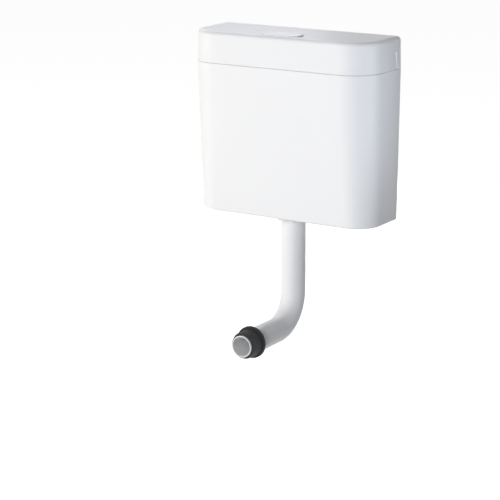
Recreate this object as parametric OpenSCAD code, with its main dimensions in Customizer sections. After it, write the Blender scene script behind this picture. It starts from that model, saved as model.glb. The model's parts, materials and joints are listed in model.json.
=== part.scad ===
// Wall-hung toilet cistern: tank, lift-off lid, push button, flush valve, fill valve and flush bend.
// Millimetres. The origin is on the wall, midway between the two wall slots.
// +X is the right-hand side seen from the front, -Y points to the front and +Z is up.

/* [Tank] */
// Width of the tank at its rim
tank_w = 412; // [390:1:440]
// Depth of the tank at its rim, from the wall to the front
tank_d = 144; // [140:1:165]
// Height of the tank from its underside to the lid seam
tank_h = 306; // [285:1:340]
// Thickness of the tank walls
tank_wall = 3.5; // [3:0.1:4.5]
// Thickness of the tank floor
tank_floor = 4; // [3:0.1:6]
// Plan radius of the two front corners at the rim
corner_r = 62; // [50:1:66]
// Plan radius of the two front corners at the underside
corner_low_r = 54; // [44:1:60]
// Lean of each side wall, in degrees
side_draft = 0.5; // [0.3:0.1:2]
// Lean of the front wall, in degrees
front_draft = 3.9; // [2:0.1:4.5]
// Radius of the bottom edge
bottom_edge_r = 5; // [2:0.5:6]
// Height of the thick band under the rim
rim_band = 14; // [10:1:18]
// Depth of the round recess under the outlet
well_h = 26; // [24:1:32]
// Radius of the round recess under the outlet
well_r = 42; // [41:0.5:43]
// Flat steps in a quarter of a corner
corner_steps = 20; // [12:1:28]

/* [Wall slots] */
// Height of the rim above the wall slots
rim_above_slots = 32; // [28:1:36]
// Distance between the middles of the two wall slots
slot_spacing = 260; // [200:1:280]
// Width of a wall slot
slot_w = 9; // [6:0.5:10]
// Length of a wall slot from end to end
slot_len = 16; // [12:1:22]
// Extra thickness of the wall around a slot
slot_pad_t = 3.5; // [2:0.5:6]
// Margin of the thick pad around a slot
slot_pad_rim = 6.5; // [4:0.5:8]

/* [Lid] */
// Height of the lid above the seam
lid_h = 63; // [56:1:75]
// Thickness of the lid
lid_wall = 3; // [2.5:0.1:3.5]
// Radius of the top edge of the lid
lid_edge_r = 8; // [5:0.5:9]
// Radius of the inner top edge of the lid
lid_inner_r = 3; // [1:0.5:4]
// Lean of the lid's front and sides
lid_draft = 1.8; // [0.5:0.1:3]
// Open seam between the lid and the tank
seam_gap = 1.2; // [0.6:0.1:2]
// Height of the locating lip of the tank above the seam
lip_h = 8; // [5:0.5:10]
// Thickness of the locating lip
lip_wall = 2.3; // [1.8:0.1:2.6]
// Clearance between the lip and the lid
lip_gap = 0.5; // [0.3:0.1:0.8]
// Thickness of the ribs that carry the lid
lid_rib_t = 3; // [2:0.5:4]
// Length of the ribs from the inside of the lid wall
lid_rib_len = 5; // [4:0.5:6]
// Height of the ribs
lid_rib_h = 14; // [8:1:18]
// Width of the grip recess in each side
grip_w = 23; // [18:1:30]
// Height of the grip recess above the lower edge of the lid
grip_h = 33; // [20:1:36]
// Depth of the grip recess
grip_depth = 1.5; // [0.8:0.1:1.8]
// Distance of the grip recess from the wall
grip_y = 19; // [12:1:30]

/* [Button] */
// Width of the button
button_w = 84; // [76:1:92]
// Depth of the button, front to back
button_d = 42; // [38:1:46]
// Plan radius of the button's corners
button_corner_r = 19; // [12:0.5:19]
// Distance from the front of the lid to the button
button_setback = 15; // [14:0.5:18]
// Height of the button's front edge above the lid
button_rise_front = 2; // [1:0.1:3]
// Height of the button's back edge above the lid
button_rise_back = 4.5; // [3:0.1:6]
// Travel of the button
button_travel = 7; // [5:0.1:8]
// Gap between the button and the lid
button_gap = 0.6; // [0.4:0.05:1]
// Wall of the button
button_wall = 3; // [2:0.1:3.5]
// Width of the button's retaining flange
button_flange_w = 2.5; // [1.5:0.1:3]
// Thickness of the button's retaining flange
button_flange_t = 2.5; // [1.5:0.1:3]
// Radius of the two push legs
leg_r = 3.5; // [2.5:0.1:4]
// Distance of each push leg from the middle
leg_x = 9; // [8:0.5:10]
// Distance of the push legs from the front of the button
leg_setback = 11; // [9:0.5:13]
// Height of the button frame
frame_h = 23; // [20:0.5:26]
// Wall of the button frame
frame_wall = 2.5; // [2:0.1:3]
// Floor of the button frame
frame_floor = 3; // [2:0.1:4]
// Length of the screw tabs of the button frame
tab_len = 11; // [10:0.5:14]
// Height of the screw bosses under the lid
boss_h = 6; // [4:0.5:9]
// Radius of the screw bosses under the lid
boss_r = 4.5; // [4:0.1:5]
// Radius of the screw shanks
screw_r = 1.5; // [1.2:0.1:1.8]
// Radius of the screw heads
screw_head_r = 3.3; // [2.6:0.1:3.8]
// Height of the screw heads
screw_head_h = 2.4; // [1.8:0.1:3]
// Distance of each return spring from the middle
spring_x = 28; // [24:0.5:30]
// Mean radius of a return spring
spring_r = 4.6; // [4.2:0.1:5.5]
// Radius of the spring wire
spring_wire_r = 0.6; // [0.4:0.05:0.7]
// Turns of a return spring
spring_turns = 6; // [4:1:7]

/* [Liner] */
// Wall of the foam liner
liner_wall = 8; // [5:0.5:9]
// Floor of the foam liner
liner_floor = 10; // [6:0.5:14]
// Drop from the rim to the top of the liner
liner_drop = 46; // [45:1:60]
// Gap between the liner and the tank walls
liner_gap = 0.3; // [0.2:0.05:0.5]

/* [Flush pipe] */
// Distance of the outlet axis from the wall
outlet_y = 62.5; // [60:0.5:66]
// Outer diameter of the flush pipe
pipe_d = 50; // [46:0.5:52]
// Wall of the flush pipe
pipe_wall = 2.2; // [1.8:0.1:3]
// Drop from the tank's underside to the axis of the lower leg
pipe_drop = 230; // [180:1:320]
// Radius of the bend along its axis
bend_r = 70; // [60:1:85]
// Reach of the lower leg in front of the outlet axis
pipe_reach = 200; // [190:1:260]
// Outer diameter of the spigot at the end
spigot_d = 44; // [40:0.5:45]
// Length of the spigot
spigot_len = 62; // [50:1:75]
// Length of the taper down to the spigot
taper_len = 12; // [8:1:20]
// Outer diameter of the pan connector
connector_d = 55; // [50:0.5:60]
// Length of the pan connector's cylindrical land
connector_land = 24; // [18:1:26]
// Length of the pan connector's tapered nose
connector_nose = 7; // [4:0.5:10]
// Thickness of the pan connector's collar
connector_collar_t = 5; // [3:0.5:8]
// Height of the pan connector's collar over its land
connector_collar_h = 5; // [3:0.5:8]

/* [Flush valve] */
// Wall of the threaded outlet tail
tail_wall = 5; // [4:0.1:5.5]
// Length of the outlet tail below the tank's underside
tail_below = 2; // [0:0.5:5]
// Depth of the pipe socket in the tail
socket_depth = 14; // [10:0.5:16]
// Thickness of the gasket under the seat flange
seat_gasket_t = 3; // [2:0.1:4]
// Thickness of the seat flange
seat_flange_t = 5; // [4:0.1:7]
// Height of the sealing seat above its flange
seat_h = 6; // [5:0.1:9]
// Width of the sealing seat
seat_land = 5; // [3:0.1:5.5]
// Height of the seat nut
seat_nut_h = 9; // [7:0.5:10]
// Room between the seat nut and the wall of the recess
seat_nut_room = 2.5; // [1.5:0.1:3]
// Space between the seat nut and the flush nut
nut_space = 3; // [1:0.1:4]
// Thickness of the flush pipe seal
flush_seal_t = 4.5; // [3:0.1:6]
// Floor of the flush nut
flush_nut_floor = 4; // [3:0.1:5]
// Wall of the flush nut
flush_nut_wall = 5; // [4:0.1:6]
// Outer radius of the valve housing
housing_r = 41; // [39:0.5:42]
// Wall of the valve housing
housing_wall = 3; // [2:0.1:4]
// Width of the foot ring of the housing
housing_foot_w = 7; // [5:0.1:7.5]
// Height of the foot ring of the housing
housing_foot_h = 8; // [6:0.5:12]
// Height of the four water windows
window_h = 36; // [28:1:42]
// Width of a window post
window_post_w = 14; // [10:1:18]
// Height of the float chamber
chamber_h = 92; // [80:1:110]
// Outer radius of the overflow tube
tube_r = 17.5; // [16:0.1:18]
// Wall of the overflow tube
tube_wall = 2; // [1.5:0.1:2.5]
// Clearance of the tube in its guide
tube_gap = 0.4; // [0.3:0.05:0.6]
// Drop from the rim to the top of the overflow tube
overflow_drop = 60; // [56:1:80]
// Thickness of the bell seal
seal_t = 3.5; // [2.5:0.1:5]
// Room between the bell seal and the foot ring
seal_room = 3; // [2:0.1:4]
// Thickness of the clamp flange over the seal
clamp_t = 3; // [2:0.1:4]
// Wall of the bell float
bell_wall = 2; // [1.5:0.1:3]
// Room around the bell float
bell_room = 5; // [3:0.1:6]
// Radius of the two housing posts
post_r = 5; // [4:0.1:6]
// Distance of each housing post from the middle
post_x = 30; // [28:0.5:32]

/* [Lift lever] */
// Drop from the rim to the underside of the lever bracket
bracket_drop = 24; // [20:0.5:30]
// Thickness of the lever bracket
bracket_t = 4; // [3:0.1:6]
// Height of the lever pivot above the rim
pivot_rise = 13; // [12:0.5:15]
// Distance from the pivot to the push nose
lever_front = 20; // [18:0.5:22]
// Width of the lift lever
lever_w = 29; // [27:0.5:32]
// Thickness of the lift lever
lever_t = 4; // [3:0.1:5]
// Radius of the noses of the lift lever
nose_r = 4; // [3.8:0.1:4.5]
// Radius of the lift lever's hub
hub_r = 6; // [5.5:0.1:7]
// Radius of the lift lever's pin
pin_r = 3; // [2.5:0.1:3.5]
// Thickness of the bracket's ears
ear_t = 4; // [3:0.1:5]
// Radius of the lift rod
rod_r = 5; // [4:0.1:5.5]
// Radius of the lift rod's collar
collar_r = 11; // [10:0.1:12]
// Thickness of the lift rod's collar
collar_t = 3.5; // [2.5:0.1:5]
// Height of the lift rod's crown
crown_h = 8; // [6:0.5:10]

/* [Fill valve] */
// Distance of the fill valve head from the middle of the tank
fill_x = 150; // [146:1:152]
// Drop from the rim to the inlet axis
inlet_drop = 26; // [25:0.5:28]
// Diameter of the inlet thread
thread_d = 20.9; // [16:0.1:21.5]
// Length of the free inlet thread
thread_len = 15; // [10:0.5:20]
// Radius of the water way in the inlet
inlet_bore_r = 6.5; // [5:0.1:7]
// Radius of the flat pad around the inlet hole
pad_r = 18; // [16:0.1:18.5]
// Distance of the pad's inner face from the tank's side at the rim
pad_in = 6.5; // [6.2:0.1:9]
// Distance that the pad's outer face stands out past the rim
pad_out = 0.5; // [0.2:0.1:2]
// Thickness of the inlet gasket
inlet_gasket_t = 2; // [1.5:0.1:3]
// Radius of the inlet flange
inlet_flange_r = 17; // [15:0.1:17.5]
// Thickness of the inlet flange
inlet_flange_t = 4; // [3:0.1:5]
// Thickness of the inlet nut
inlet_nut_t = 8; // [6:0.5:10]
// Width of the inlet nut across its corners
inlet_nut_d = 34.6; // [30:0.1:36]
// Radius of the barrel between inlet and head
barrel_r = 11.5; // [10:0.1:12]
// Radius of the head
head_r = 16; // [15:0.1:17]
// Height of the head above the inlet axis
head_up = 22; // [20:0.5:24]
// Depth of the head below the inlet axis
head_down = 22; // [18:0.5:24]
// Wall of the head
head_wall = 3.5; // [2.5:0.1:4]
// Radius of the guide tube
guide_r = 9; // [8.5:0.1:10]
// Bore radius of the guide tube
guide_bore_r = 6; // [5:0.1:6.5]
// Height of the guide tube's end above the tank's underside
guide_end = 45; // [30:1:80]
// Thickness of the diaphragm
diaphragm_t = 2; // [1.5:0.1:3]
// Wall of the cap's skirt
cap_wall = 3.3; // [2.5:0.1:4]
// Thickness of the cap's top
cap_t = 4; // [3:0.1:5]
// Height of the guide on the cap
cap_guide_h = 8; // [6:0.5:10]
// Radius of the closing pin
closing_pin_r = 3; // [2.5:0.1:3.2]
// Travel of the closing pin
closing_travel = 2.5; // [1.5:0.1:3]
// Length of the closing pin's head
closing_head_h = 1.5; // [1:0.1:2.5]
// Distance from the closing lever's pivot to the pin
lever_in = 12; // [11:0.1:13]
// Distance from the closing lever's pivot to the float rod
lever_out = 48; // [44:0.5:52]
// Thickness of the closing lever
closing_lever_t = 3.5; // [2.5:0.1:4]
// Width of the closing lever's hub
closing_hub_w = 16; // [14:0.5:18]
// Radius of the closing lever's hub
closing_hub_r = 4; // [3.5:0.1:4.5]
// Radius of the closing lever's pivot pin
closing_pivot_r = 2; // [1.5:0.1:2.2]
// Thickness of the cap's ears
cap_ear_t = 3; // [2:0.1:4]
// Radius of the float rod
float_rod_r = 2.5; // [2:0.1:3]
// Width of the rod nuts across their corners
rod_nut_d = 11; // [10:0.1:12]
// Height of the rod nuts
rod_nut_h = 4; // [3:0.1:5]
// Drop from the inlet axis to the top of the float
float_hang = 52; // [46:1:70]
// Height of the float
float_h = 46; // [36:1:56]
// Depth of the float, front to back
float_d = 66; // [56:1:74]
// Gap between the float and the liner behind it
float_back_gap = 4.2; // [3:0.1:12]
// Margin of the float past the guide tube and the rod
float_margin = 12; // [10:0.5:14]
// Corner radius of the float
float_corner_r = 10; // [6:0.5:11]
// Depth of the rod's hole in the float
float_rod_depth = 14; // [10:0.5:20]
// Height of the float's stop ring
stop_h = 4; // [3:0.5:6]
// Outer radius of the float's stop ring
stop_r = 13.5; // [12.5:0.1:15]

/* [Fits] */
// Radial clearance of pins and shafts in their holes
pin_fit = 0.05; // [0.03:0.01:0.1]
// Radial clearance of threads and sleeves
thread_fit = 0.15; // [0.1:0.01:0.25]
// Clearance between parts that nearly touch and move
rest_gap = 0.3; // [0.2:0.05:0.4]
// Side clearance of levers between their ears
side_gap = 0.5; // [0.3:0.05:0.8]

/* [Hidden] */

$fn = 72;
// Overshoot of a cut past the face that it opens
cut = 1;

// Levels of the shell
z_rim = rim_above_slots;
z_bottom = z_rim - tank_h;
z_top = z_rim + lid_h;
z_lid_in = z_top - lid_wall;
z_tank_edge = z_rim - seam_gap / 2;
z_lid_edge = z_rim + seam_gap / 2;
z_lip = z_rim + lip_h;
z_floor = z_bottom + tank_floor;
z_well_roof = z_bottom + well_h;
z_well_top = z_well_roof + tank_floor;
lip_inset = lid_wall + lip_gap + lid_lean(z_lip);
rim_inset = lip_inset + lip_wall;
liner_inset = tank_wall + liner_gap;

// Levels of the flush valve, from the tank floor up
z_flange_low = z_well_top + seat_gasket_t;
z_flange_top = z_flange_low + seat_flange_t;
z_seat = z_flange_top + seat_h;
z_seal_top = z_seat + seal_t;
z_foot_top = z_flange_top + housing_foot_h;
z_window_top = z_foot_top + window_h;
z_chamber_top = z_window_top + chamber_h;
z_overflow = z_rim - overflow_drop;
z_bracket = z_rim - bracket_drop;
z_tail = z_bottom - tail_below;
z_seat_nut = z_well_roof - seat_nut_h;
z_flush_nut_top = z_seat_nut - nut_space;
z_seal_low = z_tail - flush_seal_t;
z_flush_nut = z_seal_low - flush_nut_floor;
tail_r = pipe_d / 2 + tail_wall;
water_r = pipe_d / 2 - pipe_wall;
seal_r = housing_r - housing_foot_w - seal_room;
bell_r = housing_r - housing_wall - bell_room;

// Lift lever: a straight beam whose push nose falls by the button's travel
y_front = -tank_d;
y_button_front = y_front + button_setback;
y_button = y_button_front + button_d / 2;
y_leg = y_button_front + leg_setback;
y_pivot = y_leg + lever_front;
z_pivot = z_rim + pivot_rise;
lever_back = -outlet_y - y_pivot;
lever_tilt = atan(button_travel / 2 / lever_front);
lift = button_travel * lever_back / lever_front;
z_collar = z_pivot - lift / 2 + nose_r + rest_gap;
z_leg_tip = z_pivot + button_travel / 2 + nose_r + rest_gap;

// Button and its frame
z_flange_button = z_lid_in - rest_gap;
z_button_under = z_flange_button - button_flange_t;
z_button_ceiling = z_top + button_rise_front - button_wall;
z_frame = z_lid_in - frame_h;
z_frame_floor = z_frame + frame_floor;
frame_room = button_flange_w + 2 * button_gap;
frame_rim = frame_room + frame_wall;
z_tab_top = z_lid_in - boss_h;
z_tab = z_tab_top - frame_floor;
tab_x = button_w / 2 + frame_rim + tab_len / 2;
tab_y = button_d / 2 - boss_r;
button_slope = atan((button_rise_back - button_rise_front) / button_d);

// Fill valve
z_inlet = z_rim - inlet_drop;
thread_r = thread_d / 2;
x_head = -fill_x;
y_fill = -(liner_inset + liner_wall + float_back_gap + float_d / 2);
x_pad_in = -(tank_w / 2 - pad_in);
x_pad_out = -(tank_w / 2 + pad_out);
x_flange = x_pad_in + inlet_gasket_t;
x_nut = x_pad_out - inlet_nut_t;
neck_len = 2;
x_thread = x_nut - neck_len;
x_tail = x_thread - thread_len;
z_head = z_inlet - head_down;
z_head_top = z_inlet + head_up;
z_guide_end = z_bottom + guide_end;
z_cap = z_head_top + diaphragm_t;
z_cap_top = z_cap + cap_t;
z_skirt = z_inlet + barrel_r + 1.5;
cap_r = head_r + thread_fit + cap_wall;
z_pin_low = z_cap + closing_travel + rest_gap;
z_pin_head = z_cap_top + cap_guide_h + closing_travel + 2 * rest_gap;
z_pin_top = z_pin_head + closing_head_h;
closing_nose_r = 3;
x_closing = x_head + lever_in;
z_closing = z_pin_top + rest_gap + closing_nose_r - closing_travel / 2;
closing_tilt = atan(closing_travel / 2 / lever_in);
float_travel = closing_travel * lever_out / lever_in;
x_rod = x_closing + lever_out;
z_eye = z_closing - float_travel / 2;
nut_half_gap = closing_lever_t / 2 / cos(closing_tilt) + rod_nut_d / 2 * tan(closing_tilt) + rest_gap;
z_float_top = z_inlet - float_hang;
z_float = z_float_top - float_h;
x_float = x_head - guide_r - float_margin;
float_w = x_rod + float_margin - x_float;
z_stop = z_float - rest_gap - stop_h;

// Flush bend
z_leg = z_bottom - pipe_drop;
z_pipe_top = z_tail + socket_depth - 1;
y_leg_end = -(outlet_y + pipe_reach);
y_spigot = y_leg_end + spigot_len;
y_taper = y_spigot + taper_len;
y_bend = -(outlet_y + bend_r);
spigot_r = spigot_d / 2;
connector_back = 4;
y_connector = y_leg_end + connector_back;

// Half width, front and corner radius of the tank at a height
function depth_below_rim(z) = max(0, z_rim - z);
function half_w(z) = tank_w / 2 - depth_below_rim(z) * tan(side_draft);
function front_at(z) = tank_d - depth_below_rim(z) * tan(front_draft);
function corner_at(z) = corner_r - (corner_r - corner_low_r) * depth_below_rim(z) / tank_h;

// D-shaped outline: straight back at -back, straight front at -front, two round front corners
function arc(cx, cy, r, from) = [
    for (i = [0 : corner_steps])
        [cx + r * cos(from + 90 * i / corner_steps), cy + r * sin(from + 90 * i / corner_steps)]
];
function d_plan(hw, front, back, r) = concat(
    [[-hw, -back]],
    arc(-hw + r, -front + r, r, 180),
    arc(hw - r, -front + r, r, 270),
    [[hw, -back]]
);
function tank_plan(z, inset) =
    d_plan(half_w(z) - inset, front_at(z) - inset, inset, corner_at(z) - inset);

// Inset of the lid's front and sides at a height, from their lean
function lid_lean(z) = (z - z_lid_edge) * tan(lid_draft);
function lid_plan(inset, back) =
    d_plan(tank_w / 2 - inset, tank_d - inset, back, corner_r - inset);

// Least gap between neighbouring turns of a spring when the button is fully pressed
spring_low = z_frame_floor + rest_gap + spring_wire_r;
spring_high = z_button_ceiling - rest_gap - spring_wire_r;
spring_gap = (spring_high - spring_low - button_travel) / spring_turns - 2 * spring_wire_r;
echo(spring_gap_pressed = spring_gap);

// Outline lifted to a height
function lifted(points, z) = [for (p = points) [p[0], p[1], z]];

// Closed skin over rings of equal length, each anticlockwise seen from the next ring
module loft(rings) {
    n = len(rings[0]);
    last = len(rings) - 1;
    polyhedron(
        [for (r = rings) each r],
        concat(
            [[for (j = [0 : n - 1]) j]],
            [[for (j = [n - 1 : -1 : 0]) last * n + j]],
            [
                for (i = [0 : last - 1], j = [0 : n - 1], upper = [0, 1])
                    let (a = i * n + j, b = i * n + (j + 1) % n)
                    upper == 1 ? [a, a + n, b + n] : [a, b + n, b]
            ]
        )
    );
}

// Ring about the Z axis
module ring(r_in, r_out, z0, z1) {
    translate([0, 0, z0])
        difference() {
            cylinder(r = r_out, h = z1 - z0);
            translate([0, 0, -cut])
                cylinder(r = r_in, h = z1 - z0 + 2 * cut);
        }
}

// Rod about the Z axis
module rod(r, z0, z1) {
    translate([0, 0, z0])
        cylinder(r = r, h = z1 - z0);
}

// Rod along X from x0 to x1
module rod_x(r, x0, x1) {
    translate([x0, 0, 0])
        rotate([0, 90, 0])
            cylinder(r = r, h = x1 - x0);
}

// Rod along Y from y0 to y1
module rod_y(r, y0, y1) {
    translate([0, y1, 0])
        rotate([90, 0, 0])
            cylinder(r = r, h = y1 - y0);
}

// Box between two corners
module block(a, b) {
    translate(a)
        cube(b - a);
}

// Rectangle with round corners
module round_rect(w, d, r) {
    square([w - 2 * r, d], center = true);
    square([w, d - 2 * r], center = true);
    for (sx = [-1, 1], sy = [-1, 1])
        translate([sx * (w / 2 - r), sy * (d / 2 - r)])
            circle(r = r);
}

// Button outline grown by a margin, stretched from z0 to z1
module button_prism(grow, z0, z1) {
    translate([0, y_button, z0])
        linear_extrude(z1 - z0)
            round_rect(button_w + 2 * grow, button_d + 2 * grow, button_corner_r + grow);
}

module at_outlet() {
    translate([0, -outlet_y, 0])
        children();
}

module at_head() {
    translate([x_head, y_fill, 0])
        children();
}

module at_inlet() {
    translate([0, y_fill, z_inlet])
        children();
}

// Outer body of the tank: a drafted shape with a rounded bottom edge
module tank_body() {
    loft(concat(
        [
            for (a = [0 : 30 : 90])
                let (z = z_bottom + bottom_edge_r * (1 - cos(a)))
                lifted(tank_plan(z, bottom_edge_r * (1 - sin(a))), z)
        ],
        [lifted(tank_plan(z_tank_edge, 0), z_tank_edge)]
    ));
}

// Drafted prism at an inset from the tank's outside
module tank_core(inset, z0, z1) {
    loft([for (z = [z0, z1]) lifted(tank_plan(z, inset), z)]);
}

module wall_slot(grow, y0, y1) {
    run = (slot_len - slot_w) / 2;
    for (s = [-1, 1])
        translate([s * run, 0, 0])
            rod_y(slot_w / 2 + grow, y0, y1);
    block([-run, y0, -slot_w / 2 - grow], [run, y1, slot_w / 2 + grow]);
}

module tank() {
    color("white")
    difference() {
        union() {
            difference() {
                union() {
                    tank_body();
                    translate([0, 0, z_rim - rim_band])
                        linear_extrude(rim_band + lip_h)
                            polygon(tank_plan(z_rim, lip_inset));
                }
                tank_core(tank_wall, z_floor, z_rim - rim_band);
                translate([0, 0, z_rim - rim_band - cut])
                    linear_extrude(rim_band + lip_h + 2 * cut)
                        polygon(tank_plan(z_rim, rim_inset));
            }
            at_outlet()
                rod(well_r + tank_floor, z_bottom + tank_floor / 2, z_well_top);
            at_inlet()
                rod_x(pad_r, x_pad_out, x_pad_in);
            for (s = [-1, 1])
                translate([s * slot_spacing / 2, 0, 0])
                    wall_slot(slot_pad_rim, -tank_wall - slot_pad_t, -tank_wall / 2);
        }
        at_outlet() {
            rod(well_r, z_bottom - cut, z_well_roof);
            rod(tail_r + thread_fit, z_bottom, z_well_top + cut);
        }
        at_inlet()
            rod_x(thread_r + thread_fit, x_pad_out - cut, x_pad_in + cut);
        for (s = [-1, 1])
            translate([s * slot_spacing / 2, 0, 0])
                wall_slot(0, -tank_wall - slot_pad_t - cut, cut);
    }
}

module tank_liner() {
    color("ivory")
    difference() {
        tank_core(liner_inset, z_floor, z_rim - liner_drop);
        tank_core(liner_inset + liner_wall, z_floor + liner_floor, z_rim - liner_drop + cut);
        at_outlet()
            rod(well_r + tank_floor + liner_gap, z_floor - cut, z_rim - liner_drop + cut);
    }
}

// Lid outline stretched up, with a rounded edge of radius r under a top at z1
module lid_shape(inset, back, r, z0, z1) {
    loft(concat(
        [lifted(lid_plan(inset + lid_lean(z0), back), z0)],
        [for (a = [0 : 15 : 90])
            let (z = z1 - r * (1 - sin(a)))
                lifted(lid_plan(inset + lid_lean(z) + r * (1 - cos(a)), back), z)]
    ));
}

module lid_ribs() {
    lean = lid_lean(z_lip + lid_rib_h / 2);
    x_wall = tank_w / 2 - lid_wall / 2 - lean;
    y_wall = tank_d - lid_wall / 2 - lean;
    reach = lid_rib_len + lid_wall / 2;
    for (s = [-1, 1]) {
        for (y = [-grip_y, corner_r - tank_d + lid_rib_t])
            translate([s * (x_wall - reach / 2), y, z_lip + lid_rib_h / 2])
                cube([reach, lid_rib_t, lid_rib_h], center = true);
        translate([s * slot_spacing / 2, -lid_wall / 2 - reach / 2, z_lip + lid_rib_h / 2])
            cube([lid_rib_t, reach, lid_rib_h], center = true);
        translate([s * slot_spacing / 2, -y_wall + reach / 2, z_lip + lid_rib_h / 2])
            cube([lid_rib_t, reach, lid_rib_h], center = true);
    }
}

module at_frame_screws() {
    for (sx = [-1, 1], sy = [-1, 1])
        translate([sx * tab_x, y_button + sy * tab_y, 0])
            children();
}

module lid() {
    color("white")
    difference() {
        union() {
            difference() {
                lid_shape(0, 0, lid_edge_r, z_lid_edge, z_top);
                lid_shape(lid_wall, lid_wall, lid_inner_r, z_lid_edge - cut, z_lid_in);
            }
            lid_ribs();
            at_frame_screws()
                rod(boss_r, z_tab_top, z_lid_in + lid_wall / 2);
        }
        button_prism(button_gap, z_lid_in - cut, z_top + cut);
        at_frame_screws()
            rod(screw_r + pin_fit, z_tab_top - cut, z_lid_in - lid_wall / 2);
        for (s = [-1, 1])
            translate([s * tank_w / 2, -grip_y - grip_w / 2, z_lid_edge])
                rotate([0, -s * lid_draft, 0])
                    translate([0, 0, grip_h / 2 - cut / 2])
                        cube([2 * grip_depth, grip_w, grip_h + cut], center = true);
    }
}

module push_button() {
    color("white")
    difference() {
        union() {
            difference() {
                union() {
                    button_prism(0, z_button_under, z_top + button_rise_back);
                    button_prism(button_flange_w, z_button_under, z_flange_button);
                }
                button_prism(-button_wall, z_button_under - cut, z_button_ceiling);
            }
            for (s = [-1, 1])
                translate([s * leg_x, y_leg, 0])
                    rod(leg_r, z_leg_tip, z_button_ceiling + button_wall / 2);
        }
        translate([0, y_button_front, z_top + button_rise_front])
            rotate([button_slope, 0, 0])
                block([-button_w, -button_d / 2, 0], [button_w, 2 * button_d, button_d]);
    }
}

module button_frame() {
    color("lightgray")
    difference() {
        union() {
            difference() {
                button_prism(frame_rim, z_frame, z_lid_in);
                button_prism(frame_room, z_frame_floor, z_lid_in + cut);
            }
            for (s = [-1, 1]) {
                translate([s * (tab_x - frame_wall / 2), y_button, (z_tab + z_tab_top) / 2])
                    cube([tab_len + frame_wall, button_d, frame_floor], center = true);
                translate([s * spring_x, y_button, 0])
                    rod(spring_r - 2 * spring_wire_r - rest_gap, z_frame_floor - frame_floor / 2,
                        z_frame_floor + frame_floor);
            }
        }
        at_frame_screws()
            rod(screw_r + thread_fit, z_tab - cut, z_tab_top + cut);
        for (s = [-1, 1])
            translate([s * leg_x, y_leg, 0])
                rod(leg_r + rest_gap, z_frame - cut, z_frame_floor + cut);
    }
}

module frame_screws() {
    color("silver")
    at_frame_screws() {
        rod(screw_head_r, z_tab - screw_head_h, z_tab);
        rod(screw_r, z_tab - screw_head_h / 2, z_lid_in - lid_wall);
    }
}

// Rings of a wire along a helix, six-sided, eight to a turn
ring_sides = 6;
rings_per_turn = 8;
function helix_ring(i, count) = [
    for (j = [0 : ring_sides - 1])
        let (turn = 360 * i / rings_per_turn, side = 360 * j / ring_sides)
        let (r = spring_r + spring_wire_r * cos(side))
        [
            r * cos(turn),
            r * sin(turn),
            spring_low + (spring_high - spring_low) * i / count - spring_wire_r * sin(side)
        ]
];

module button_springs() {
    count = spring_turns * rings_per_turn;
    color("silver")
    for (s = [-1, 1])
        translate([s * spring_x, y_button, 0])
            loft([for (i = [0 : count]) helix_ring(i, count)]);
}

module valve_seat() {
    socket_r = pipe_d / 2 + rest_gap;
    color("gainsboro")
    at_outlet()
        difference() {
            union() {
                rod(tail_r, z_tail, z_flange_top);
                rod(well_r, z_flange_low, z_flange_top);
                rod(water_r + seat_land, z_flange_low, z_seat);
            }
            rod(water_r, z_tail - cut, z_seat + cut);
            rod(socket_r, z_tail - cut, z_tail + socket_depth);
        }
}

module seat_gasket() {
    color("dimgray")
    at_outlet()
        ring(tail_r + thread_fit, well_r, z_well_top, z_flange_low);
}

// Nut with plain ribs around it
module ribbed_nut(r_in, r_out, rib, z0, z1) {
    rib_count = 12;
    difference() {
        union() {
            rod(r_out - rib, z0, z1);
            for (i = [0 : rib_count - 1])
                rotate(360 * i / rib_count)
                    block([0, -rib, z0], [r_out, rib, z1]);
        }
        rod(r_in, z0 - cut, z1 + cut);
    }
}

module seat_nut() {
    color("gainsboro")
    at_outlet()
        ribbed_nut(tail_r + thread_fit, well_r - seat_nut_room, seat_nut_room, z_seat_nut, z_well_roof);
}

module flush_nut() {
    nut_r = tail_r + thread_fit;
    color("white")
    at_outlet()
        difference() {
            ribbed_nut(pipe_d / 2 + thread_fit, nut_r + flush_nut_wall, flush_nut_wall / 3,
                z_flush_nut, z_flush_nut_top);
            rod(nut_r, z_seal_low, z_flush_nut_top + cut);
        }
}

module flush_seal() {
    color("dimgray")
    at_outlet()
        ring(pipe_d / 2 + pin_fit, tail_r, z_seal_low, z_tail);
}

// Solid route of the flush bend, grown or shrunk by a margin
module bend_route(grow, over) {
    r = pipe_d / 2 + grow;
    at_outlet()
        rod(r, z_leg + bend_r, z_pipe_top + over);
    translate([0, y_bend, z_leg + bend_r])
        rotate([0, 90, 0])
            rotate_extrude(angle = 90)
                translate([bend_r, 0])
                    circle(r = r);
    translate([0, 0, z_leg]) {
        rod_y(r, y_taper, y_bend);
        translate([0, y_taper, 0])
            rotate([90, 0, 0])
                cylinder(r1 = r, r2 = spigot_r + grow, h = taper_len);
        rod_y(spigot_r + grow, y_leg_end - over, y_spigot);
    }
}

module flush_bend() {
    color("white")
    difference() {
        bend_route(0, 0);
        bend_route(-pipe_wall, cut);
    }
}

module pan_connector() {
    r = connector_d / 2;
    bore = spigot_r + pin_fit;
    y_land = connector_nose;
    y_collar = connector_nose + connector_land;
    y_back = y_collar + connector_collar_t;
    color("dimgray")
    translate([0, y_connector, z_leg])
        rotate([-90, 0, 0])
            rotate_extrude()
                polygon([
                    [bore, 0], [(bore + r) / 2, 0], [r, y_land], [r, y_collar],
                    [r + connector_collar_h, y_collar], [r + connector_collar_h, y_back], [bore, y_back]
                ]);
}

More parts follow.
